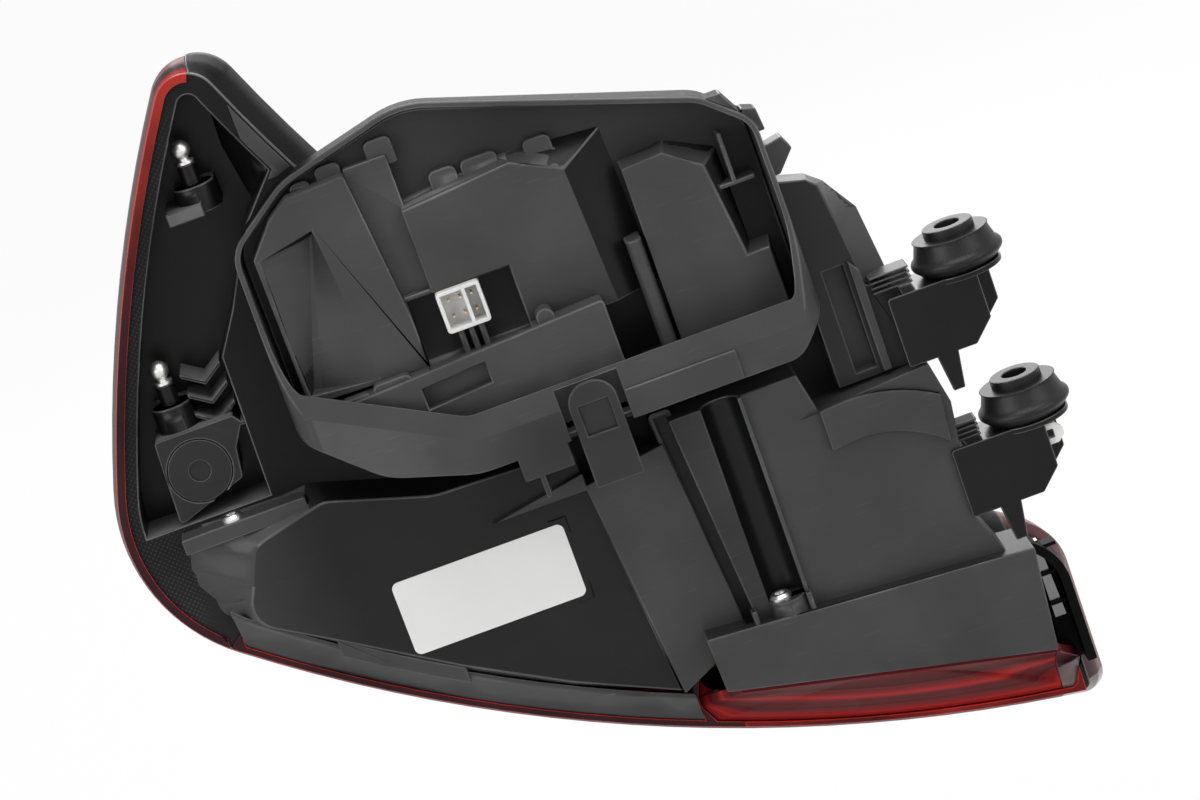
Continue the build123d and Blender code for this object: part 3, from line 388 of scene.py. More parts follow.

# %% [markdown]
# ## Finishes of the housing
#
# The faces that the eye meets first are satin, with a grain that scatters light. Darker finishes paint
# shade into pockets, steps and faces, and a pale one paints light on ledges that face up. Edges are a
# little lighter than the faces beside them, partly wear and partly a painted highlight. The flange grows
# darker upwards, a painted shade, and the label face and the rim's wall are lighter at their left ends,
# a painted light.

# %% Finishes of the housing
finishes = {
    "housing_plastic": plastic("housing_satin", grey(0.038), 0.42, shine=0.3),
    # The next three are darker finishes; the zones use them as painted shade.
    "housing_shade": plastic("housing_shade", grey(0.018), 0.42, grain_mm=0.012),
    "housing_step": plastic("housing_step", grey(0.029), 0.42, grain_mm=0.012, clouds=0.3, scratches=0.6),
    "housing_dark": plastic("housing_painted_shade", grey(0.006), 0.34, grain_mm=0.008, clouds=0.1, scratches=0.3),
    # A pale finish, painted light on ledges that face up.
    "housing_painted_light": plastic("housing_painted_light", grey(0.11, 0.001), 0.5),
    # Near black with little shine; on faces that look up it is a painted shade.
    "housing_side": plastic("housing_side", grey(0.004), 0.5, shine=0.05),
    # Lighter edges, partly wear and partly a painted highlight.
    "housing_edge": plastic("housing_edge_wear_and_highlight", grey(0.055, 0.001), 0.36, shine=0.32, grain_mm=0.01,
                            clouds=0.7, scratches=0.8),
    # The flange grows darker upwards, a painted shade.
    "housing_flange_painted_shade": plastic("housing_flange_painted_shade", grey(0.020), 0.5, shine=0.12, grain_mm=0.03, clouds=0.3,
                              grain=900.0, fade_to=(along_z, 0.000, 0.060, grey(0.007))),
    # The label face and the rim's wall are lighter at their left ends, a painted light.
    "label_face_painted_light": plastic("label_face_painted_light", grey(0.030), 0.42, grain_mm=0.012, scratches=0.5,
                          fade_to=(along_x, -0.340, -0.295, grey(0.0095))),
    "rim_face_painted_light": plastic("rim_face_painted_light", grey(0.056), 0.42, shine=0.3, clouds=0.25, scratches=0.5,
                        fade_to=(along_x, -0.255, -0.195, grey(0.021))),
}
print("finishes", len(finishes))

# %% [markdown]
# ## Finishes of the carrier
#
# The carrier is a second moulding, a shade lighter than the housing. Its floor is darkest low down, and its
# middle box grows darker towards its lower end, both a painted shade, so these two finishes fade. Its darker
# finishes paint shade on walls and in a pocket, and its edges are lighter, partly wear and partly a painted
# highlight.

# %% Finishes of the carrier
finishes.update({
    "carrier_plastic": plastic("carrier_satin", grey(0.042), 0.42, shine=0.3),
    # The next two are darker, a painted shade on walls and in the pocket.
    "carrier_shade": plastic("carrier_shade", grey(0.016), 0.44),
    "carrier_dark": plastic("carrier_painted_shade", grey(0.007), 0.36, shine=0.15, grain_mm=0.008, clouds=0.1,
                            scratches=0.3),
    # Lighter edges, partly wear and partly a painted highlight.
    "carrier_edge": plastic("carrier_edge_wear_and_highlight", grey(0.066, 0.001), 0.36, shine=0.32, grain_mm=0.01,
                            clouds=0.7, scratches=0.8),
    # These two grow darker towards their lower ends, a painted shade.
    "carrier_box_painted_shade": plastic("carrier_box_painted_shade", grey(0.042), 0.42, shine=0.3,
                           fade_to=(along_z, 0.132, 0.098, grey(0.011))),
    "carrier_floor_painted_shade": plastic("carrier_floor_painted_shade", grey(0.007), 0.4, shine=0.15, grain_mm=0.01, clouds=0.15,
                             scratches=0.3, fade_to=(along_z, 0.140, 0.168, grey(0.027))),
})
print("finishes", len(finishes))

# %% [markdown]
# ## Other plastics
#
# Small parts differ from the mouldings: glossy brackets, dull rubber, white nylon and a bare label film. The
# welded edge of the lens is here too, because it is seen as a solid red line and not as clear plastic; the
# bright red of its edges is a painted glow. The brackets' edges are lighter, partly wear and partly a painted
# highlight.

# %% Other plastics
rim_black_red = (0.026, 0.006, 0.008)
rim_top_red = (0.27, 0.020, 0.015)
# The rim's bright edge red is a painted glow.
rim_glow_red = (0.46, 0.022, 0.016)
rim_foot_red = (0.13, 0.011, 0.011)
board_green = (0.03, 0.13, 0.05)
led_yellow = (0.75, 0.72, 0.5)
finishes.update({
    "bezel_plastic": plastic("bezel_gloss", grey(0.006), 0.14, shine=0.3, grain_mm=0.003, clouds=0.1,
                             scratches=0.2),
    "bracket_plastic": plastic("bracket_gloss", grey(0.0065), 0.26, shine=0.18, grain_mm=0.006, clouds=0.15),
    # Lighter edges, partly wear and partly a painted highlight.
    "bracket_edge": plastic("bracket_edge_wear_and_highlight", grey(0.05, 0.001), 0.3, shine=0.4, grain_mm=0.006,
                            clouds=0.4, scratches=0.6),
    "mount_rubber": plastic("mount_rubber", grey(0.009), 0.4, shine=0.25, clouds=0.35, scratches=0.3,
                            grain=1800.0),
    "connector_plastic": plastic("connector_nylon", grey(0.72, -0.01), 0.35, shine=0.3, grain_mm=0.004,
                                 clouds=0.06, scratches=0.05),
    "label_film": plastic("label_film", grey(0.72, -0.005), 0.5, shine=0.1, grain_mm=0.004, clouds=0.02,
                          scratches=0.0, grain=5000.0),
    "board_laminate": plastic("board_laminate", board_green, 0.4, shine=0.3, grain_mm=0.01, scratches=0.3),
    "rim_dark": plastic("lens_rim_dark", rim_black_red, 0.2, shine=0.15, grain_mm=0.002, clouds=0.5,
                        scratches=0.2, fade_to=(along_z, 0.16, 0.245, rim_top_red)),
    # The rim's bright edge lines are a painted glow.
    "rim_line": plastic("lens_rim_glow_line", rim_glow_red, 0.3, shine=0.1, grain_mm=0.002, clouds=0.4,
                        scratches=0.2),
    "rim_foot": plastic("lens_rim_foot", rim_foot_red, 0.25, shine=0.1, grain_mm=0.002, clouds=0.9,
                        scratches=0.6),
    "led_body": plastic("led_body", led_yellow, 0.35, shine=0.3, grain_mm=0.004, clouds=0.1, scratches=0.1),
})
print("finishes", len(finishes))

# %% [markdown]
# ## Dots on the flange
#
# The flange beside the lens carries rows of fine pale dots, too small and too many to model. Dots in even
# rows come from a Voronoi texture without randomness: the distance to the nearest cell middle is small inside
# a dot. They lie only in a slanting strip between the lens and the wing, so the fade says where they begin.

# %% Dots on the flange
dot_pitch = 0.0017
dot_gain = 3.2
dot_core = 0.14
dot_edge = 0.30
dot_turn = (math.radians(90), 0, math.radians(45))
strip_line = (1, -0.3)
strip_start = -0.362
strip_full = -0.370


def add_dots(material):
    """Lays rows of lighter dots over a finish, in the strip of the flange between the lens and the wing."""
    tree = material.node_tree
    shader = tree.nodes["Principled BSDF"]
    plain = shader.inputs["Base Color"].links[0].from_socket
    coordinates = new_node(tree, "ShaderNodeTexCoord")
    flat = new_node(tree, "ShaderNodeMapping", Rotation=dot_turn)
    cells = new_node(tree, "ShaderNodeTexVoronoi", voronoi_dimensions="2D", Scale=1 / dot_pitch,
                     Randomness=0.0)
    dots = new_node(tree, "ShaderNodeMapRange", From_Min=dot_core, From_Max=dot_edge,
                    To_Min=dot_gain, To_Max=1.0)
    lit = new_node(tree, "ShaderNodeMix", data_type="RGBA", blend_type="MULTIPLY")
    tree.links.new(fade_share(tree, strip_line, strip_start, strip_full), lit.inputs["Factor"])
    tree.links.new(coordinates.outputs["Object"], flat.inputs["Vector"])
    tree.links.new(flat.outputs[0], cells.inputs["Vector"])
    tree.links.new(cells.outputs["Distance"], dots.inputs["Value"])
    tree.links.new(plain, lit.inputs["A"])
    tree.links.new(dots.outputs[0], lit.inputs["B"])
    tree.links.new(lit.outputs["Result"], shader.inputs["Base Color"])


add_dots(finishes["housing_flange_painted_shade"])
print("dots on", finishes["housing_flange_painted_shade"].name)

# %% [markdown]
# ## Metal finishes
#
# Plated metal is a mirror broken up by fine lines from turning and brushing. A metal differs from a plastic
# only in how it reflects, so the same helper serves again with its Metallic turned on. Clouds change the tone
# and scratches the roughness, so that the shine is never quite even.

# %% Metal finishes
brass_yellow = (0.72, 0.55, 0.28)
plating_warm = (0.80, 0.79, 0.77)


def metal(name, colour, roughness, scratches=0.8):
    """A plated metal whose shine is broken up by clouds and scratches."""
    material = plastic(name, colour, roughness, shine=0.5, grain_mm=0.004, clouds=0.15, scratches=scratches,
                       grain=3500.0)
    material.node_tree.nodes["Principled BSDF"].inputs["Metallic"].default_value = 1.0
    return material


finishes.update({
    "steel": metal("sleeve_steel", grey(0.30, 0.0), 0.38),
    "stud_metal": metal("stud_plating", plating_warm, 0.42),
    "screw_steel": metal("screw_plating", grey(0.62, 0.0), 0.3),
    "contact_metal": metal("contact_brass", brass_yellow, 0.3),
    # Darker than bare plating, a painted shade for metal behind the lens.
    "end_metal": metal("end_metal_painted_shade", grey(0.17, 0.002), 0.22, scratches=0.2),
    "reflector_metal": metal("reflector_coat", grey(0.82, 0.01), 0.12, scratches=0.2),
})
print("finishes", len(finishes))

# %% [markdown]
# ## Depth of the lens
#
# The lens is clear acrylic, tinted red in the mass. Light runs inside it and comes out at the welded edge,
# so that edge is a bright red line, and the side behind it is dark with thin streaks. Here those bands are
# painted into the colour, the bright ones as a painted glow and the dark ones as painted shade, and all of
# them follow the depth of the lens. One more group gives that depth along Y, from 0 to 1, and a noise that
# is squeezed along Y sways it a little, so that the bands have streaks.

# %% Group for the depth of the lens
lens_near = -0.020
lens_far = 0.060
streak_stretch = (3, 420, 3)
streak_sway = 0.10
noise_middle = 0.5
lens_depth, takes, gives = new_group("lens_depth", {"Near": 0.0, "Far": 1.0, "Sway": 0.0}, ("Depth",))
point = new_node(lens_depth, "ShaderNodeTexCoord").outputs["Object"]
parts = new_node(lens_depth, "ShaderNodeSeparateXYZ")
depth = new_node(lens_depth, "ShaderNodeMapRange")
stretch = new_node(lens_depth, "ShaderNodeMapping", Scale=streak_stretch)
streaks = new_node(lens_depth, "ShaderNodeTexNoise", Scale=1.0, Detail=2.0)
centred = new_node(lens_depth, "ShaderNodeMath", operation="SUBTRACT")
centred.inputs[1].default_value = noise_middle
swayed = new_node(lens_depth, "ShaderNodeMath", operation="MULTIPLY_ADD")
lens_depth.links.new(point, parts.inputs[0])
lens_depth.links.new(parts.outputs["Y"], depth.inputs["Value"])
lens_depth.links.new(takes.outputs["Near"], depth.inputs["From Min"])
lens_depth.links.new(takes.outputs["Far"], depth.inputs["From Max"])
lens_depth.links.new(point, stretch.inputs["Vector"])
lens_depth.links.new(stretch.outputs[0], streaks.inputs["Vector"])
lens_depth.links.new(streaks.outputs["Fac"], centred.inputs[0])
lens_depth.links.new(centred.outputs[0], swayed.inputs[0])
lens_depth.links.new(takes.outputs["Sway"], swayed.inputs[1])
lens_depth.links.new(depth.outputs[0], swayed.inputs[2])
lens_depth.links.new(swayed.outputs[0], gives.inputs["Depth"])
print("group", lens_depth.name, "nodes", len(lens_depth.nodes))

# %% [markdown]
# ## Lens finishes
#
# Each lens finish is a colour ramp over that depth. The front of the red lens lets light through, so it has
# only two clear reds. The sides and the smoky end are seen against the dark inside, so they are solid, with
# narrow bands: a bright line at the weld, a painted glow, and deep red and black around it, a painted shade.

# %% Lens finishes
acrylic_index = 1.49
bright_red = (0.50, 0.018, 0.014)
mid_red = (0.22, 0.010, 0.010)
band_red = (0.33, 0.016, 0.014)
dull_red = (0.115, 0.010, 0.011)
deep_red = (0.045, 0.006, 0.008)
near_black = (0.012, 0.004, 0.006)
clear_red = (0.62, 0.016, 0.018)
glow_red = (0.80, 0.030, 0.026)
smoke_pale = (0.16, 0.13, 0.12)
smoke_dark = (0.10, 0.07, 0.07)


def lens_plastic(name, bands, clearness, roughness, shine=0.4):
    """Tinted acrylic whose colour follows the depth of the lens in bands."""
    material = bpy.data.materials.new(name)
    material.use_nodes = True
    tree = material.node_tree
    shader = tree.nodes["Principled BSDF"]
    shader.inputs["Roughness"].default_value = roughness
    shader.inputs["IOR"].default_value = acrylic_index
    shader.inputs["Transmission Weight"].default_value = clearness
    shader.inputs["Specular IOR Level"].default_value = shine
    depth = new_node(tree, "ShaderNodeGroup", node_tree=lens_depth, Near=lens_near, Far=lens_far,
                     Sway=streak_sway)
    ramp = new_node(tree, "ShaderNodeValToRGB")
    stops = ramp.color_ramp.elements
    stops.remove(stops[1])
    first_position, first_colour = bands[0]
    stops[0].position = first_position
    stops[0].color = (*first_colour, 1)
    for position, colour in bands[1:]:
        stops.new(position).color = (*colour, 1)
    tree.links.new(depth.outputs["Depth"], ramp.inputs["Fac"])
    tree.links.new(ramp.outputs["Color"], shader.inputs["Base Color"])
    return material


# In the sides, the bright bands are a painted glow and the black ones a painted shade.
side_bands = (
    (0.0, deep_red), (0.06, dull_red), (0.14, deep_red), (0.20, band_red), (0.24, dull_red), (0.30, deep_red),
    (0.36, band_red), (0.40, deep_red), (0.425, bright_red), (0.45, bright_red), (0.47, near_black),
    (0.56, deep_red), (0.62, mid_red), (0.66, near_black), (0.9, mid_red),
)
smoke_bands = ((0.0, mid_red), (0.3, deep_red), (0.42, smoke_pale), (0.5, smoke_dark), (0.9, mid_red))
end_bands = ((0.0, dull_red), (0.3, near_black), (0.5, deep_red), (0.9, mid_red))
finishes.update({
    "red_lens": lens_plastic("lens_red", ((0.0, clear_red), (1.0, glow_red)), 0.85, 0.03),
    "lens_side": lens_plastic("lens_red_side", side_bands, 0.0, 0.3, shine=0.03),
    "clear_lens": lens_plastic("lens_smoke", smoke_bands, 0.0, 0.12),
    "end_side": lens_plastic("lens_end_side", end_bands, 0.0, 0.2, shine=0.05),
    "light_guide": lens_plastic("guide_red", ((0.0, bright_red), (1.0, mid_red)), 0.0, 0.2),
})
print("finishes", len(finishes))

# %% [markdown]
# ## Merged copies
#
# The CAD meshes are loose triangles, and they are never changed. A piece that needs another shape starts from
# a copy: its points are merged, and the triangles of each flat face are joined to one face, so that no edge
# is left inside it. The copy gets two finishes, one for its faces and one for its edges.

# %% Merged copies
merge_distance = 0.01 * millimetre
flat_angle = math.radians(0.6)
face_spot = 0
edge_spot = 1


def make_active(piece):
    """Selects one piece alone, for the operators that follow."""
    deselect()
    piece.select_set(True)
    bpy.context.view_layer.objects.active = piece


def edit_all():
    """Goes to edit mode with all of the active piece selected."""
    bpy.ops.object.mode_set(mode="EDIT")
    bpy.ops.mesh.select_all(action="SELECT")


def end_edit():
    """Goes back to object mode, where the mesh can be read again."""
    bpy.ops.object.mode_set(mode="OBJECT")


def merged_copy(name, node, face_finish, edge_finish):
    """A new piece from a CAD node's mesh, with merged points, joined flat faces and two finishes."""
    piece = bpy.data.objects.new(name, nodes[node].data.copy())
    bpy.context.scene.collection.objects.link(piece)
    piece.data.materials.clear()
    for finish in (face_finish, edge_finish):
        piece.data.materials.append(finishes[finish])
    make_active(piece)
    edit_all()
    bpy.ops.mesh.remove_doubles(threshold=merge_distance)
    bpy.ops.mesh.dissolve_limited(angle_limit=flat_angle)
    end_edit()
    return piece


print("helper", merged_copy.__name__)

# %% [markdown]
# ## Outer edges
#
# A rounded inner corner would gain little and would fold narrow walls over, so only edges that stand out are
# rounded. An edge stands out if the two faces beside it turn away from each other. The sign of one cross
# product tells that, and the answer is kept as the edge's bevel weight.

# %% Outer edges
sharp_angle = math.radians(32)


def mark_outer_edges(mesh):
    """Marks the sharp edges that stand out, so that Bevel rounds those and leaves the inner corners."""
    side_of = {}
    for face in mesh.polygons:
        corners = list(face.vertices)
        for start, end in zip(corners, corners[1:] + corners[:1]):
            side_of[start, end] = face
    marks = mesh.attributes.new("bevel_weight_edge", "FLOAT", "EDGE")
    for edge in mesh.edges:
        start, end = edge.vertices
        first = side_of.get((start, end))
        second = side_of.get((end, start))
        if first and second and first.normal.angle(second.normal, 0) > sharp_angle:
            along = mesh.vertices[end].co - mesh.vertices[start].co
            marks.data[edge.index].value = float(first.normal.cross(second.normal).dot(along) > 0)


print("helper", mark_outer_edges.__name__)

# %% [markdown]
# ## Rounded edges
#
# No moulded edge is sharp: it has a radius, and that radius catches the light. A shader could only pretend
# to round it, and the pretence is lost when the mesh is exported. So a Bevel modifier rounds the marked edges
# of each copy and gives them the lighter edge finish, which is partly wear and partly a painted highlight.
# Weighted normals then keep the large faces even beside the small round ones. The copy stands for the node,
# and the node stays for the simulation.

# %% Rounded copies
edge_steps = 2
slot_of = {part["node"]: part["material_slot"] for part in frame["record"]["subparts"]}


def rounded_copy(name, width, edge_finish):
    """A copy of a CAD node with rounded outer edges, which stands for the node."""
    piece = merged_copy(f"{name}_rounded", name, slot_of[name], edge_finish)
    mark_outer_edges(piece.data)
    bevel = piece.modifiers.new("edge", "BEVEL")
    bevel.width = width * millimetre
    bevel.segments = edge_steps
    bevel.limit_method = "WEIGHT"
    bevel.use_clamp_overlap = False
    bevel.material = edge_spot
    bpy.ops.object.modifier_apply(modifier="edge")
    bpy.ops.object.shade_smooth_by_angle(angle=sharp_angle)
    even = piece.modifiers.new("even", "WEIGHTED_NORMAL")
    even.keep_sharp = True
    bpy.ops.object.modifier_apply(modifier="even")
    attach(piece, "root")
    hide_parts(name)
    return piece


# Each node's edge width in millimetres, and the finish of its edges.
edge_widths = {
    "housing": (0.7, "housing_edge"), "lamp_carrier": (0.8, "carrier_edge"),
    "lower_bracket": (0.5, "bracket_edge"), "upper_bracket": (0.5, "bracket_edge"),
    "lower_rubber_mount": (0.8, "mount_rubber"), "upper_rubber_mount": (0.8, "mount_rubber"),
    "connector_shroud": (0.3, "connector_plastic"), "end_lens": (0.4, "rim_foot"),
    "outer_lens": (0.4, "red_lens"), "wing_plug": (0.4, "bracket_edge"),
}
rounded = {}
for name, (width, edge_finish) in edge_widths.items():
    rounded[name] = rounded_copy(name, width, edge_finish)
    print(name, "faces", len(rounded[name].data.polygons))

# %% [markdown]
# ## How a zone is given
#
# One mould gives one part many surfaces, and its outer faces are eroded to a satin. Here a part also takes
# darker finishes that paint shade into pockets and onto shaded faces, and a pale one that paints light on
# ledges. Those zones end at edges, so no mask texture is needed: each zone is a box around the faces that
# share a finish. A face whose middle lies in the box, and that looks the zone's way, takes it. The rounded
# edges keep theirs, and so do faces that an earlier zone took. A longer direction lets faces pass that lean
# further from it.

# %% Helper for zones
anyway = None
outwards = Vector((0.85, -0.3, 0.4))
upwards = Vector((0, 0, 1))
loose_length = 2.2
roughly_up = upwards * loose_length
downwards = -upwards
rightwards = Vector((1, 0, 0))
leftwards = -rightwards
least_facing = 0.8


def give_zone(piece, finish, low, high, facing=anyway):
    """Gives a finish to the plain faces whose middle lies between two corners, and that face one way."""
    spots = piece.data.materials
    if spots.find(finish.name) < 0:
        spots.append(finish)
    spot = spots.find(finish.name)
    taken = 0
    for face in piece.data.polygons:
        inside = all(a <= c <= b for a, c, b in zip(low, face.center, high))
        turned = facing is anyway or face.normal.dot(facing) > least_facing
        if inside and turned and face.material_index == face_spot:
            face.material_index = spot
            taken += 1
    return taken


print("helper", give_zone.__name__)

# %% [markdown]
# ## Zones of the housing
#
# The wing's pocket, the channel, the step beside it, the chamber's front and the space under the rim are
# darker, a painted shade, and so are some faces that look up on the rim, the skirt and the right end. The
# ledges in the wing are pale, a painted light, and the long faces by the label and the rim are lighter at
# their left ends, a painted light too. The flange grows darker upwards, a painted shade. Each row gives a
# finish, the lowest and the highest corner of its box in metres, and the way its faces look.

# %% Zones of the housing
housing_zones = {
    "body side of the shell": ("housing_side", (-0.300, 0.0142, 0.100), (0.010, 0.090, 0.300), outwards),
    "tip of the shell": ("housing_side", (-0.283, 0.0142, 0.225), (-0.150, 0.090, 0.300), anyway),
    # Painted light on the ledges in the wing.
    "ledges in the wing": ("housing_painted_light", (-0.370, 0.0130, 0.060), (-0.288, 0.037, 0.210), upwards),
    "face of the upper ledge": ("housing_painted_light", (-0.314, 0.0130, 0.188), (-0.294, 0.015, 0.199), anyway),
    "plug seat": ("housing_shade", (-0.370, 0.0118, 0.069), (-0.310, 0.0170, 0.110), anyway),
    # Painted shade in the wing's pocket.
    "wing pocket": ("housing_dark", (-0.400, 0.0120, 0.040), (-0.215, 0.060, 0.300), anyway),
    # The flange grows darker upwards, a painted shade.
    "flange": ("housing_flange_painted_shade", (-0.400, 0.0110, -0.130), (0.010, 0.0120, 0.300), anyway),
    # The label face is lighter at its left end, a painted light.
    "label face": ("label_face_painted_light", (-0.350, -0.0032, -0.100), (-0.190, -0.0028, 0.070), anyway),
    # Painted shade on the step and in the channel.
    "step beside the channel": ("housing_step", (-0.147, -0.0125, -0.060), (-0.1305, 0.010, 0.0465), anyway),
    "channel": ("housing_dark", (-0.1305, -0.0115, -0.060), (-0.1125, 0.010, 0.0465), anyway),
    # Painted shade on faces that look up on the rim.
    "top of the rim": ("housing_side", (-0.300, -0.035, 0.150), (-0.050, 0.0110, 0.250), roughly_up),
    # The rim's lower wall is lighter at its left end, a painted light.
    "lower wall of the rim": ("rim_face_painted_light", (-0.290, -0.0310, 0.040), (-0.150, -0.0200, 0.085), anyway),
    # A painted shadow along the top of the skirt.
    "top of the skirt": ("housing_shade", (-0.150, -0.0200, -0.060), (-0.060, -0.0100, -0.040), roughly_up),
    # Painted shade on the ledges at the right end that look up.
    "ledges at the right end": ("housing_side", (-0.060, -0.020, -0.100), (0.012, 0.075, 0.030), roughly_up),
    # Painted shade on the chamber's front.
    "chamber front": ("housing_shade", (-0.072, -0.0022, 0.030), (-0.035, -0.0018, 0.140), anyway),
    # A painted shadow under the rim.
    "under the rim": ("housing_dark", (-0.300, -0.010, 0.0475), (-0.100, 0.0110, 0.100), anyway),
}
for zone, (finish, low, high, facing) in housing_zones.items():
    print(zone, "faces", give_zone(rounded["housing"], finishes[finish], low, high, facing))

# %% [markdown]
# ## Zones of the carrier
#
# The carrier's boxes lean, so their walls catch the light differently, and that is painted too: walls that
# face right or down get darker finishes than the faces towards the camera, a painted shade, and so does the
# pocket between the boxes. The floor between the boxes and the middle box fade darker towards their lower
# ends, a painted shade as well.

# %% Zones of the carrier
carrier_zones = {
    # Every row here is a painted shade: the pocket, the lower ends of the middle box and the floor, and
    # walls.
    "pocket between the boxes": ("carrier_dark", (-0.155, -0.0030, 0.080), (-0.126, 0.0100, 0.180), anyway),
    "middle box": ("carrier_box_painted_shade", (-0.182, -0.0045, 0.100), (-0.162, -0.0035, 0.125), anyway),
    "floor": ("carrier_floor_painted_shade", (-0.30, 0.0045, 0.05), (-0.06, 0.0100, 0.21), anyway),
    "walls that face right": ("carrier_shade", (-0.30, -0.0140, 0.05), (-0.06, 0.0100, 0.21), rightwards),
    "walls that face down": ("carrier_dark", (-0.30, -0.0140, 0.075), (-0.06, 0.0100, 0.21), downwards),
}
for zone, (finish, low, high, facing) in carrier_zones.items():
    print(zone, "faces", give_zone(rounded["lamp_carrier"], finishes[finish], low, high, facing))

# %% [markdown]
# ## Strips cut from the flange
#
# Some thin things lie on the housing's flange and follow its outline: the welded rim of the lens and a raised
# flat in the wing. Drawing that outline again would never fit as well as the flange itself, so each of them
# starts as a copy of the flange's flat face. Planes cut the copy to length, and all but the wanted faces are
# deleted.

# %% Copies of the flange
flange_depth = 0.0115
flange_slack = 0.0003
flange_turn = -0.99


def keep_faces(piece, wanted):
    """Deletes every face of a piece but the wanted ones."""
    bpy.ops.object.mode_set(mode="EDIT")
    bpy.ops.mesh.select_mode(type="FACE")
    bpy.ops.mesh.select_all(action="DESELECT")
    end_edit()
    for face in piece.data.polygons:
        face.select = not wanted(face)
    bpy.ops.object.mode_set(mode="EDIT")
    bpy.ops.mesh.delete(type="FACE")
    end_edit()


def on_flange(face):
    """Tells whether a face is part of the flange's flat side."""
    return abs(face.center.y - flange_depth) < flange_slack and face.normal.y < flange_turn


def flange_copy(name, cuts, face_finish, edge_finish):
    """A copy of the flange's flat face, cut off along planes whose normals point at what goes."""
    piece = merged_copy(name, "housing", face_finish, edge_finish)
    keep_faces(piece, on_flange)
    for point, normal in cuts:
        edit_all()
        bpy.ops.mesh.bisect(plane_co=point, plane_no=normal, clear_outer=True)
        end_edit()
    return piece


print("helper", flange_copy.__name__)

# %% [markdown]
# ## Thickness of a strip
#
# A flat strip gets its thickness from Solidify, towards the viewer, and Bevel rounds its edges with a finish
# of their own. Where a strip was cut off to meet the next one, its end keeps the plain finish, so that no
# bright line shows between the two.

# %% Thickness of a strip
strip_steps = 2
strip_edge_angle = math.radians(40)


def raise_strip(piece, thickness, edge_round, cuts=()):
    """Gives a flat strip its thickness and rounded edges; its cut ends keep the plain finish."""
    thicken = piece.modifiers.new("thicken", "SOLIDIFY")
    thicken.thickness = thickness
    thicken.offset = 1
    edge = piece.modifiers.new("edge", "BEVEL")
    edge.width = edge_round
    edge.segments = strip_steps
    edge.limit_method = "ANGLE"
    edge.angle_limit = strip_edge_angle
    edge.material = edge_spot
    make_active(piece)
    for step in ("thicken", "edge"):
        bpy.ops.object.modifier_apply(modifier=step)
    bpy.ops.object.shade_smooth_by_angle(angle=sharp_angle)
    for point, normal in cuts:
        for face in piece.data.polygons:
            if abs((face.center - point).dot(normal)) < thickness:
                face.material_index = face_spot
    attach(piece, "root")
    print(piece.name, "faces", len(piece.data.polygons))


print("helper", raise_strip.__name__)

# %% [markdown]
# ## Lens rim
#
# The lens turns in over the housing's flange and is welded there, so from the car's side its rim lies on the
# flange as a narrow red band. Its edges are much brighter than its middle, a painted glow for the light that
# the lens carries, and the band grows redder towards the top. Up the left side the flange is wide, so an
# inset keeps only its border. Along the bottom the flange is as narrow as the band, and is taken whole. Faces
# far from the red lens are left out.

# %% Lens rim
rim_width = 0.0036
rim_thickness = 0.0014
rim_round = 0.0006
rim_reach = 0.0046
strip_reach = 0.0200
black_side_left = -0.283
black_side_low = 0.1
hem_cut = Vector((-0.345, 0, 0.018))
hem_side = Vector((0.6, 0, -0.8))
foot_cut = Vector((-0.157, 0, 0))
end_cut = Vector((-0.012, 0, 0))
top_cut = Vector((0, 0, 0.002))


def beside_lens(face, reach):
    """Tells whether a face lies near the red lens, and not beside the black side of the shell."""
    found, spot, _, _ = rounded["outer_lens"].closest_point_on_mesh(face.center)
    black_side = face.center.x > black_side_left and face.center.z > black_side_low
    return found and (spot - face.center).length < reach and not black_side


lens_rim = flange_copy("lens_rim", [(hem_cut, hem_side)], "rim_dark", "rim_line")
edit_all()
bpy.ops.mesh.inset(thickness=rim_width, depth=0)
bpy.ops.mesh.delete(type="FACE")
end_edit()
keep_faces(lens_rim, lambda face: beside_lens(face, rim_reach))
hem_cuts = [(hem_cut, -hem_side), (foot_cut, rightwards)]
lens_hem = flange_copy("lens_hem", hem_cuts, "rim_dark", "rim_line")
keep_faces(lens_hem, lambda face: beside_lens(face, strip_reach))
foot_cuts = [(foot_cut, leftwards), (end_cut, rightwards), (top_cut, upwards)]
lens_foot = flange_copy("lens_foot", foot_cuts, "rim_foot", "rim_line")
keep_faces(lens_foot, lambda face: beside_lens(face, strip_reach))
for strip in (lens_rim, lens_hem, lens_foot):
    raise_strip(strip, rim_thickness, rim_round, [(hem_cut, hem_side)])

# %% [markdown]
# ## Sides of the lens
#
# The front of the lens is clear, and the sides that run back to the weld show the bands. A side face lies
# near the weld and looks sideways or back, so its middle and its normal pick it.

# %% Sides of the lens
side_end = 0.034
side_turn = 0.35
lens_mesh = rounded["outer_lens"].data
lens_mesh.materials.append(finishes["lens_side"])
side_spot = lens_mesh.materials.find(finishes["lens_side"].name)
for face in lens_mesh.polygons:
    if face.center.y < side_end and face.normal.y < side_turn:
        face.material_index = side_spot
print("lens side faces", sum(face.material_index == side_spot for face in lens_mesh.polygons))

# %% [markdown]
# ## End of the lens and plug of the wing
#
# The lens is smoky only at its lowest corner, and dark red above it. The plug's disc is a satin moulding, and
# its lighter edge finish stays, partly wear and partly a painted highlight. Both are zones again: one box
# starts at a height, and the other is the whole model's.

# %% End of the lens and plug
smoke_top = -0.122
above_smoke = Vector((cad_box[0].x, cad_box[0].y, smoke_top))
end_faces = give_zone(rounded["end_lens"], finishes["end_side"], above_smoke, cad_box[1])
plug_faces = give_zone(rounded["wing_plug"], finishes["housing_shade"], cad_box[0], cad_box[1])
print("end faces", end_faces, "plug faces", plug_faces)

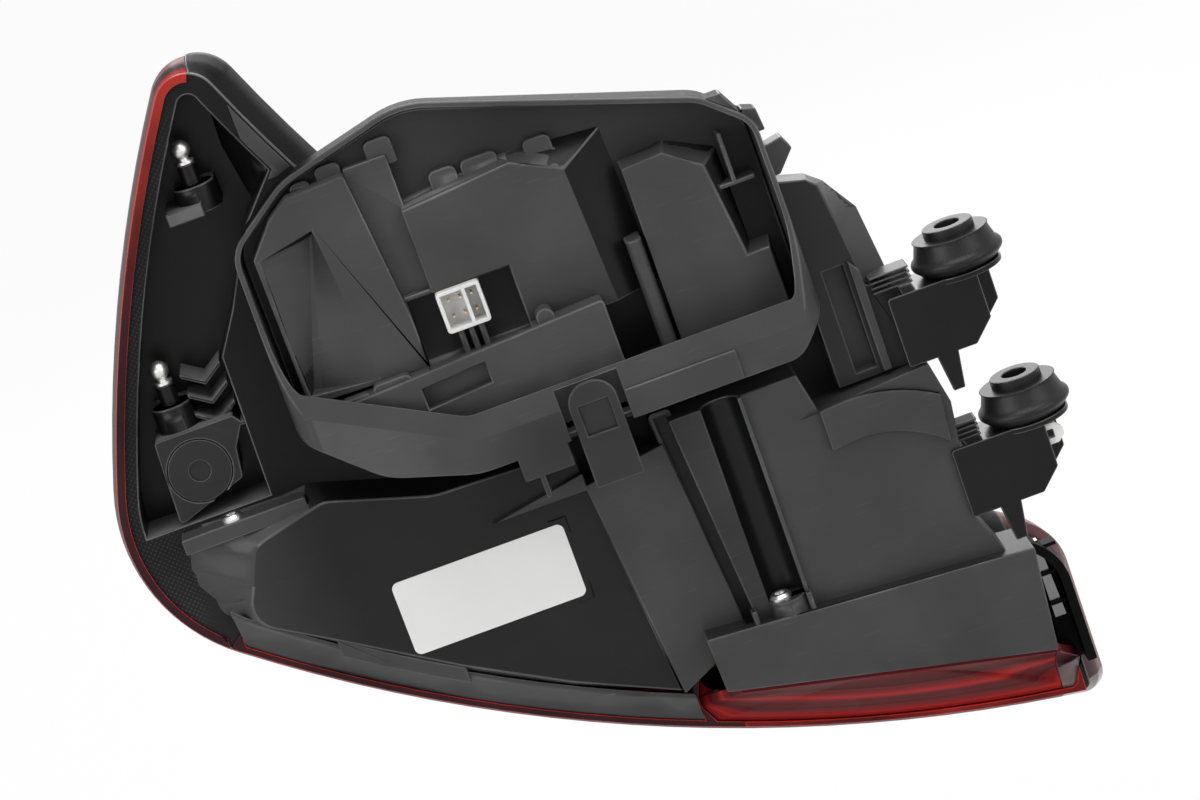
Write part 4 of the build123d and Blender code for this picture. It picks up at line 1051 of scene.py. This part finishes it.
# %% [markdown]
# ## Facet of the wing
#
# Beside the long lip of the wing the moulding has a raised flat, which breaks up the wide flange. It could be
# extruded from the housing's copy, but a piece of its own leaves that mesh alone. It is cut from the flange
# like the rim, made a little smaller by an inset and raised by less than a millimetre.

# %% Facet of the wing
facet_left = Vector((-0.2725, 0, 0))
facet_low = Vector((0, 0, 0.1955))
facet_top = Vector((0, 0, 0.2415))
facet_border = 0.0014
facet_height = 0.0007
facet_round = 0.0003
facet_cuts = [(facet_left, leftwards), (facet_low, downwards), (facet_top, upwards)]
wing_facet = flange_copy("wing_facet", facet_cuts, "housing_plastic", "housing_edge")
edit_all()
bpy.ops.mesh.inset(thickness=facet_border, depth=0)
bpy.ops.mesh.select_all(action="INVERT")
bpy.ops.mesh.delete(type="FACE")
end_edit()
raise_strip(wing_facet, facet_height, facet_round)

# %% [markdown]
# ## Corner marks beside the label
#
# The mould carries thin corner marks that show where the label goes, here at its two right corners. Bars laid
# one by one would have to be fitted to each other. So they come from one frame: Wireframe turns the border of
# a flat sheet into bars, cuts part the bars near the corners, and the rest of the frame is deleted. The cut
# ends are then closed.

# %% Corner marks beside the label
mark_gap = 0.0022
mark_length = 0.0075
mark_width = 0.0008
label_points = [nodes["label"].matrix_world @ point.co for point in nodes["label"].data.vertices]
left = min(p.x for p in label_points) - mark_gap
right = max(p.x for p in label_points) + mark_gap
bottom = min(p.z for p in label_points) - mark_gap
top = max(p.z for p in label_points) + mark_gap
seat = max(p.y for p in label_points)


def at_marked_corner(face):
    """Tells whether a face of the frame is near one of the two corners that have a mark."""
    on_right = face.center.x > right - mark_length
    low = face.center.z < bottom + mark_length
    high = face.center.z > top - mark_length
    return on_right and (low or high)


deselect()
bpy.ops.mesh.primitive_plane_add(size=1, location=((left + right) / 2, seat, (bottom + top) / 2),
                                 rotation=(math.radians(90), 0, 0))
marks = bpy.context.object
marks.name = "label_marks"
marks.scale = (right - left, top - bottom, 1)
bpy.ops.object.transform_apply(location=True, rotation=True, scale=True)
bars = marks.modifiers.new("bars", "WIREFRAME")
bars.thickness = mark_width
bars.use_boundary = True
bpy.ops.object.modifier_apply(modifier="bars")
upright_cuts = [(left + mark_length, rightwards), (right - mark_length, rightwards)]
level_cuts = [(bottom + mark_length, upwards), (top - mark_length, upwards)]
for place, normal in upright_cuts + level_cuts:
    edit_all()
    bpy.ops.mesh.bisect(plane_co=normal * place, plane_no=normal)
    end_edit()
keep_faces(marks, at_marked_corner)
edit_all()
bpy.ops.mesh.fill_holes(sides=0)
bpy.ops.mesh.normals_make_consistent(inside=False)
end_edit()
marks.data.materials.append(finishes["housing_dark"])
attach(marks, "root")
print("label marks faces", len(marks.data.polygons))

# %% [markdown]
# ## Finishes of the nodes
#
# A node whose shape is right keeps its mesh and only takes its finish, from the slot that the record names
# for it. Two nodes at the right end lie behind the lens, so each has its own: the reflector's metal is made
# darker than its slot, a painted shade, and the trim takes the near-black finish of the shell's side.

# %% Finishes of the nodes
# The reflector's darker metal is a painted shade.
own_finish = {"end_reflector": "end_metal", "end_trim": "housing_side"}
for name, node in nodes.items():
    node.data.materials.clear()
    node.data.materials.append(finishes[own_finish.get(name, slot_of[name])])
print("nodes with a finish", len(nodes))
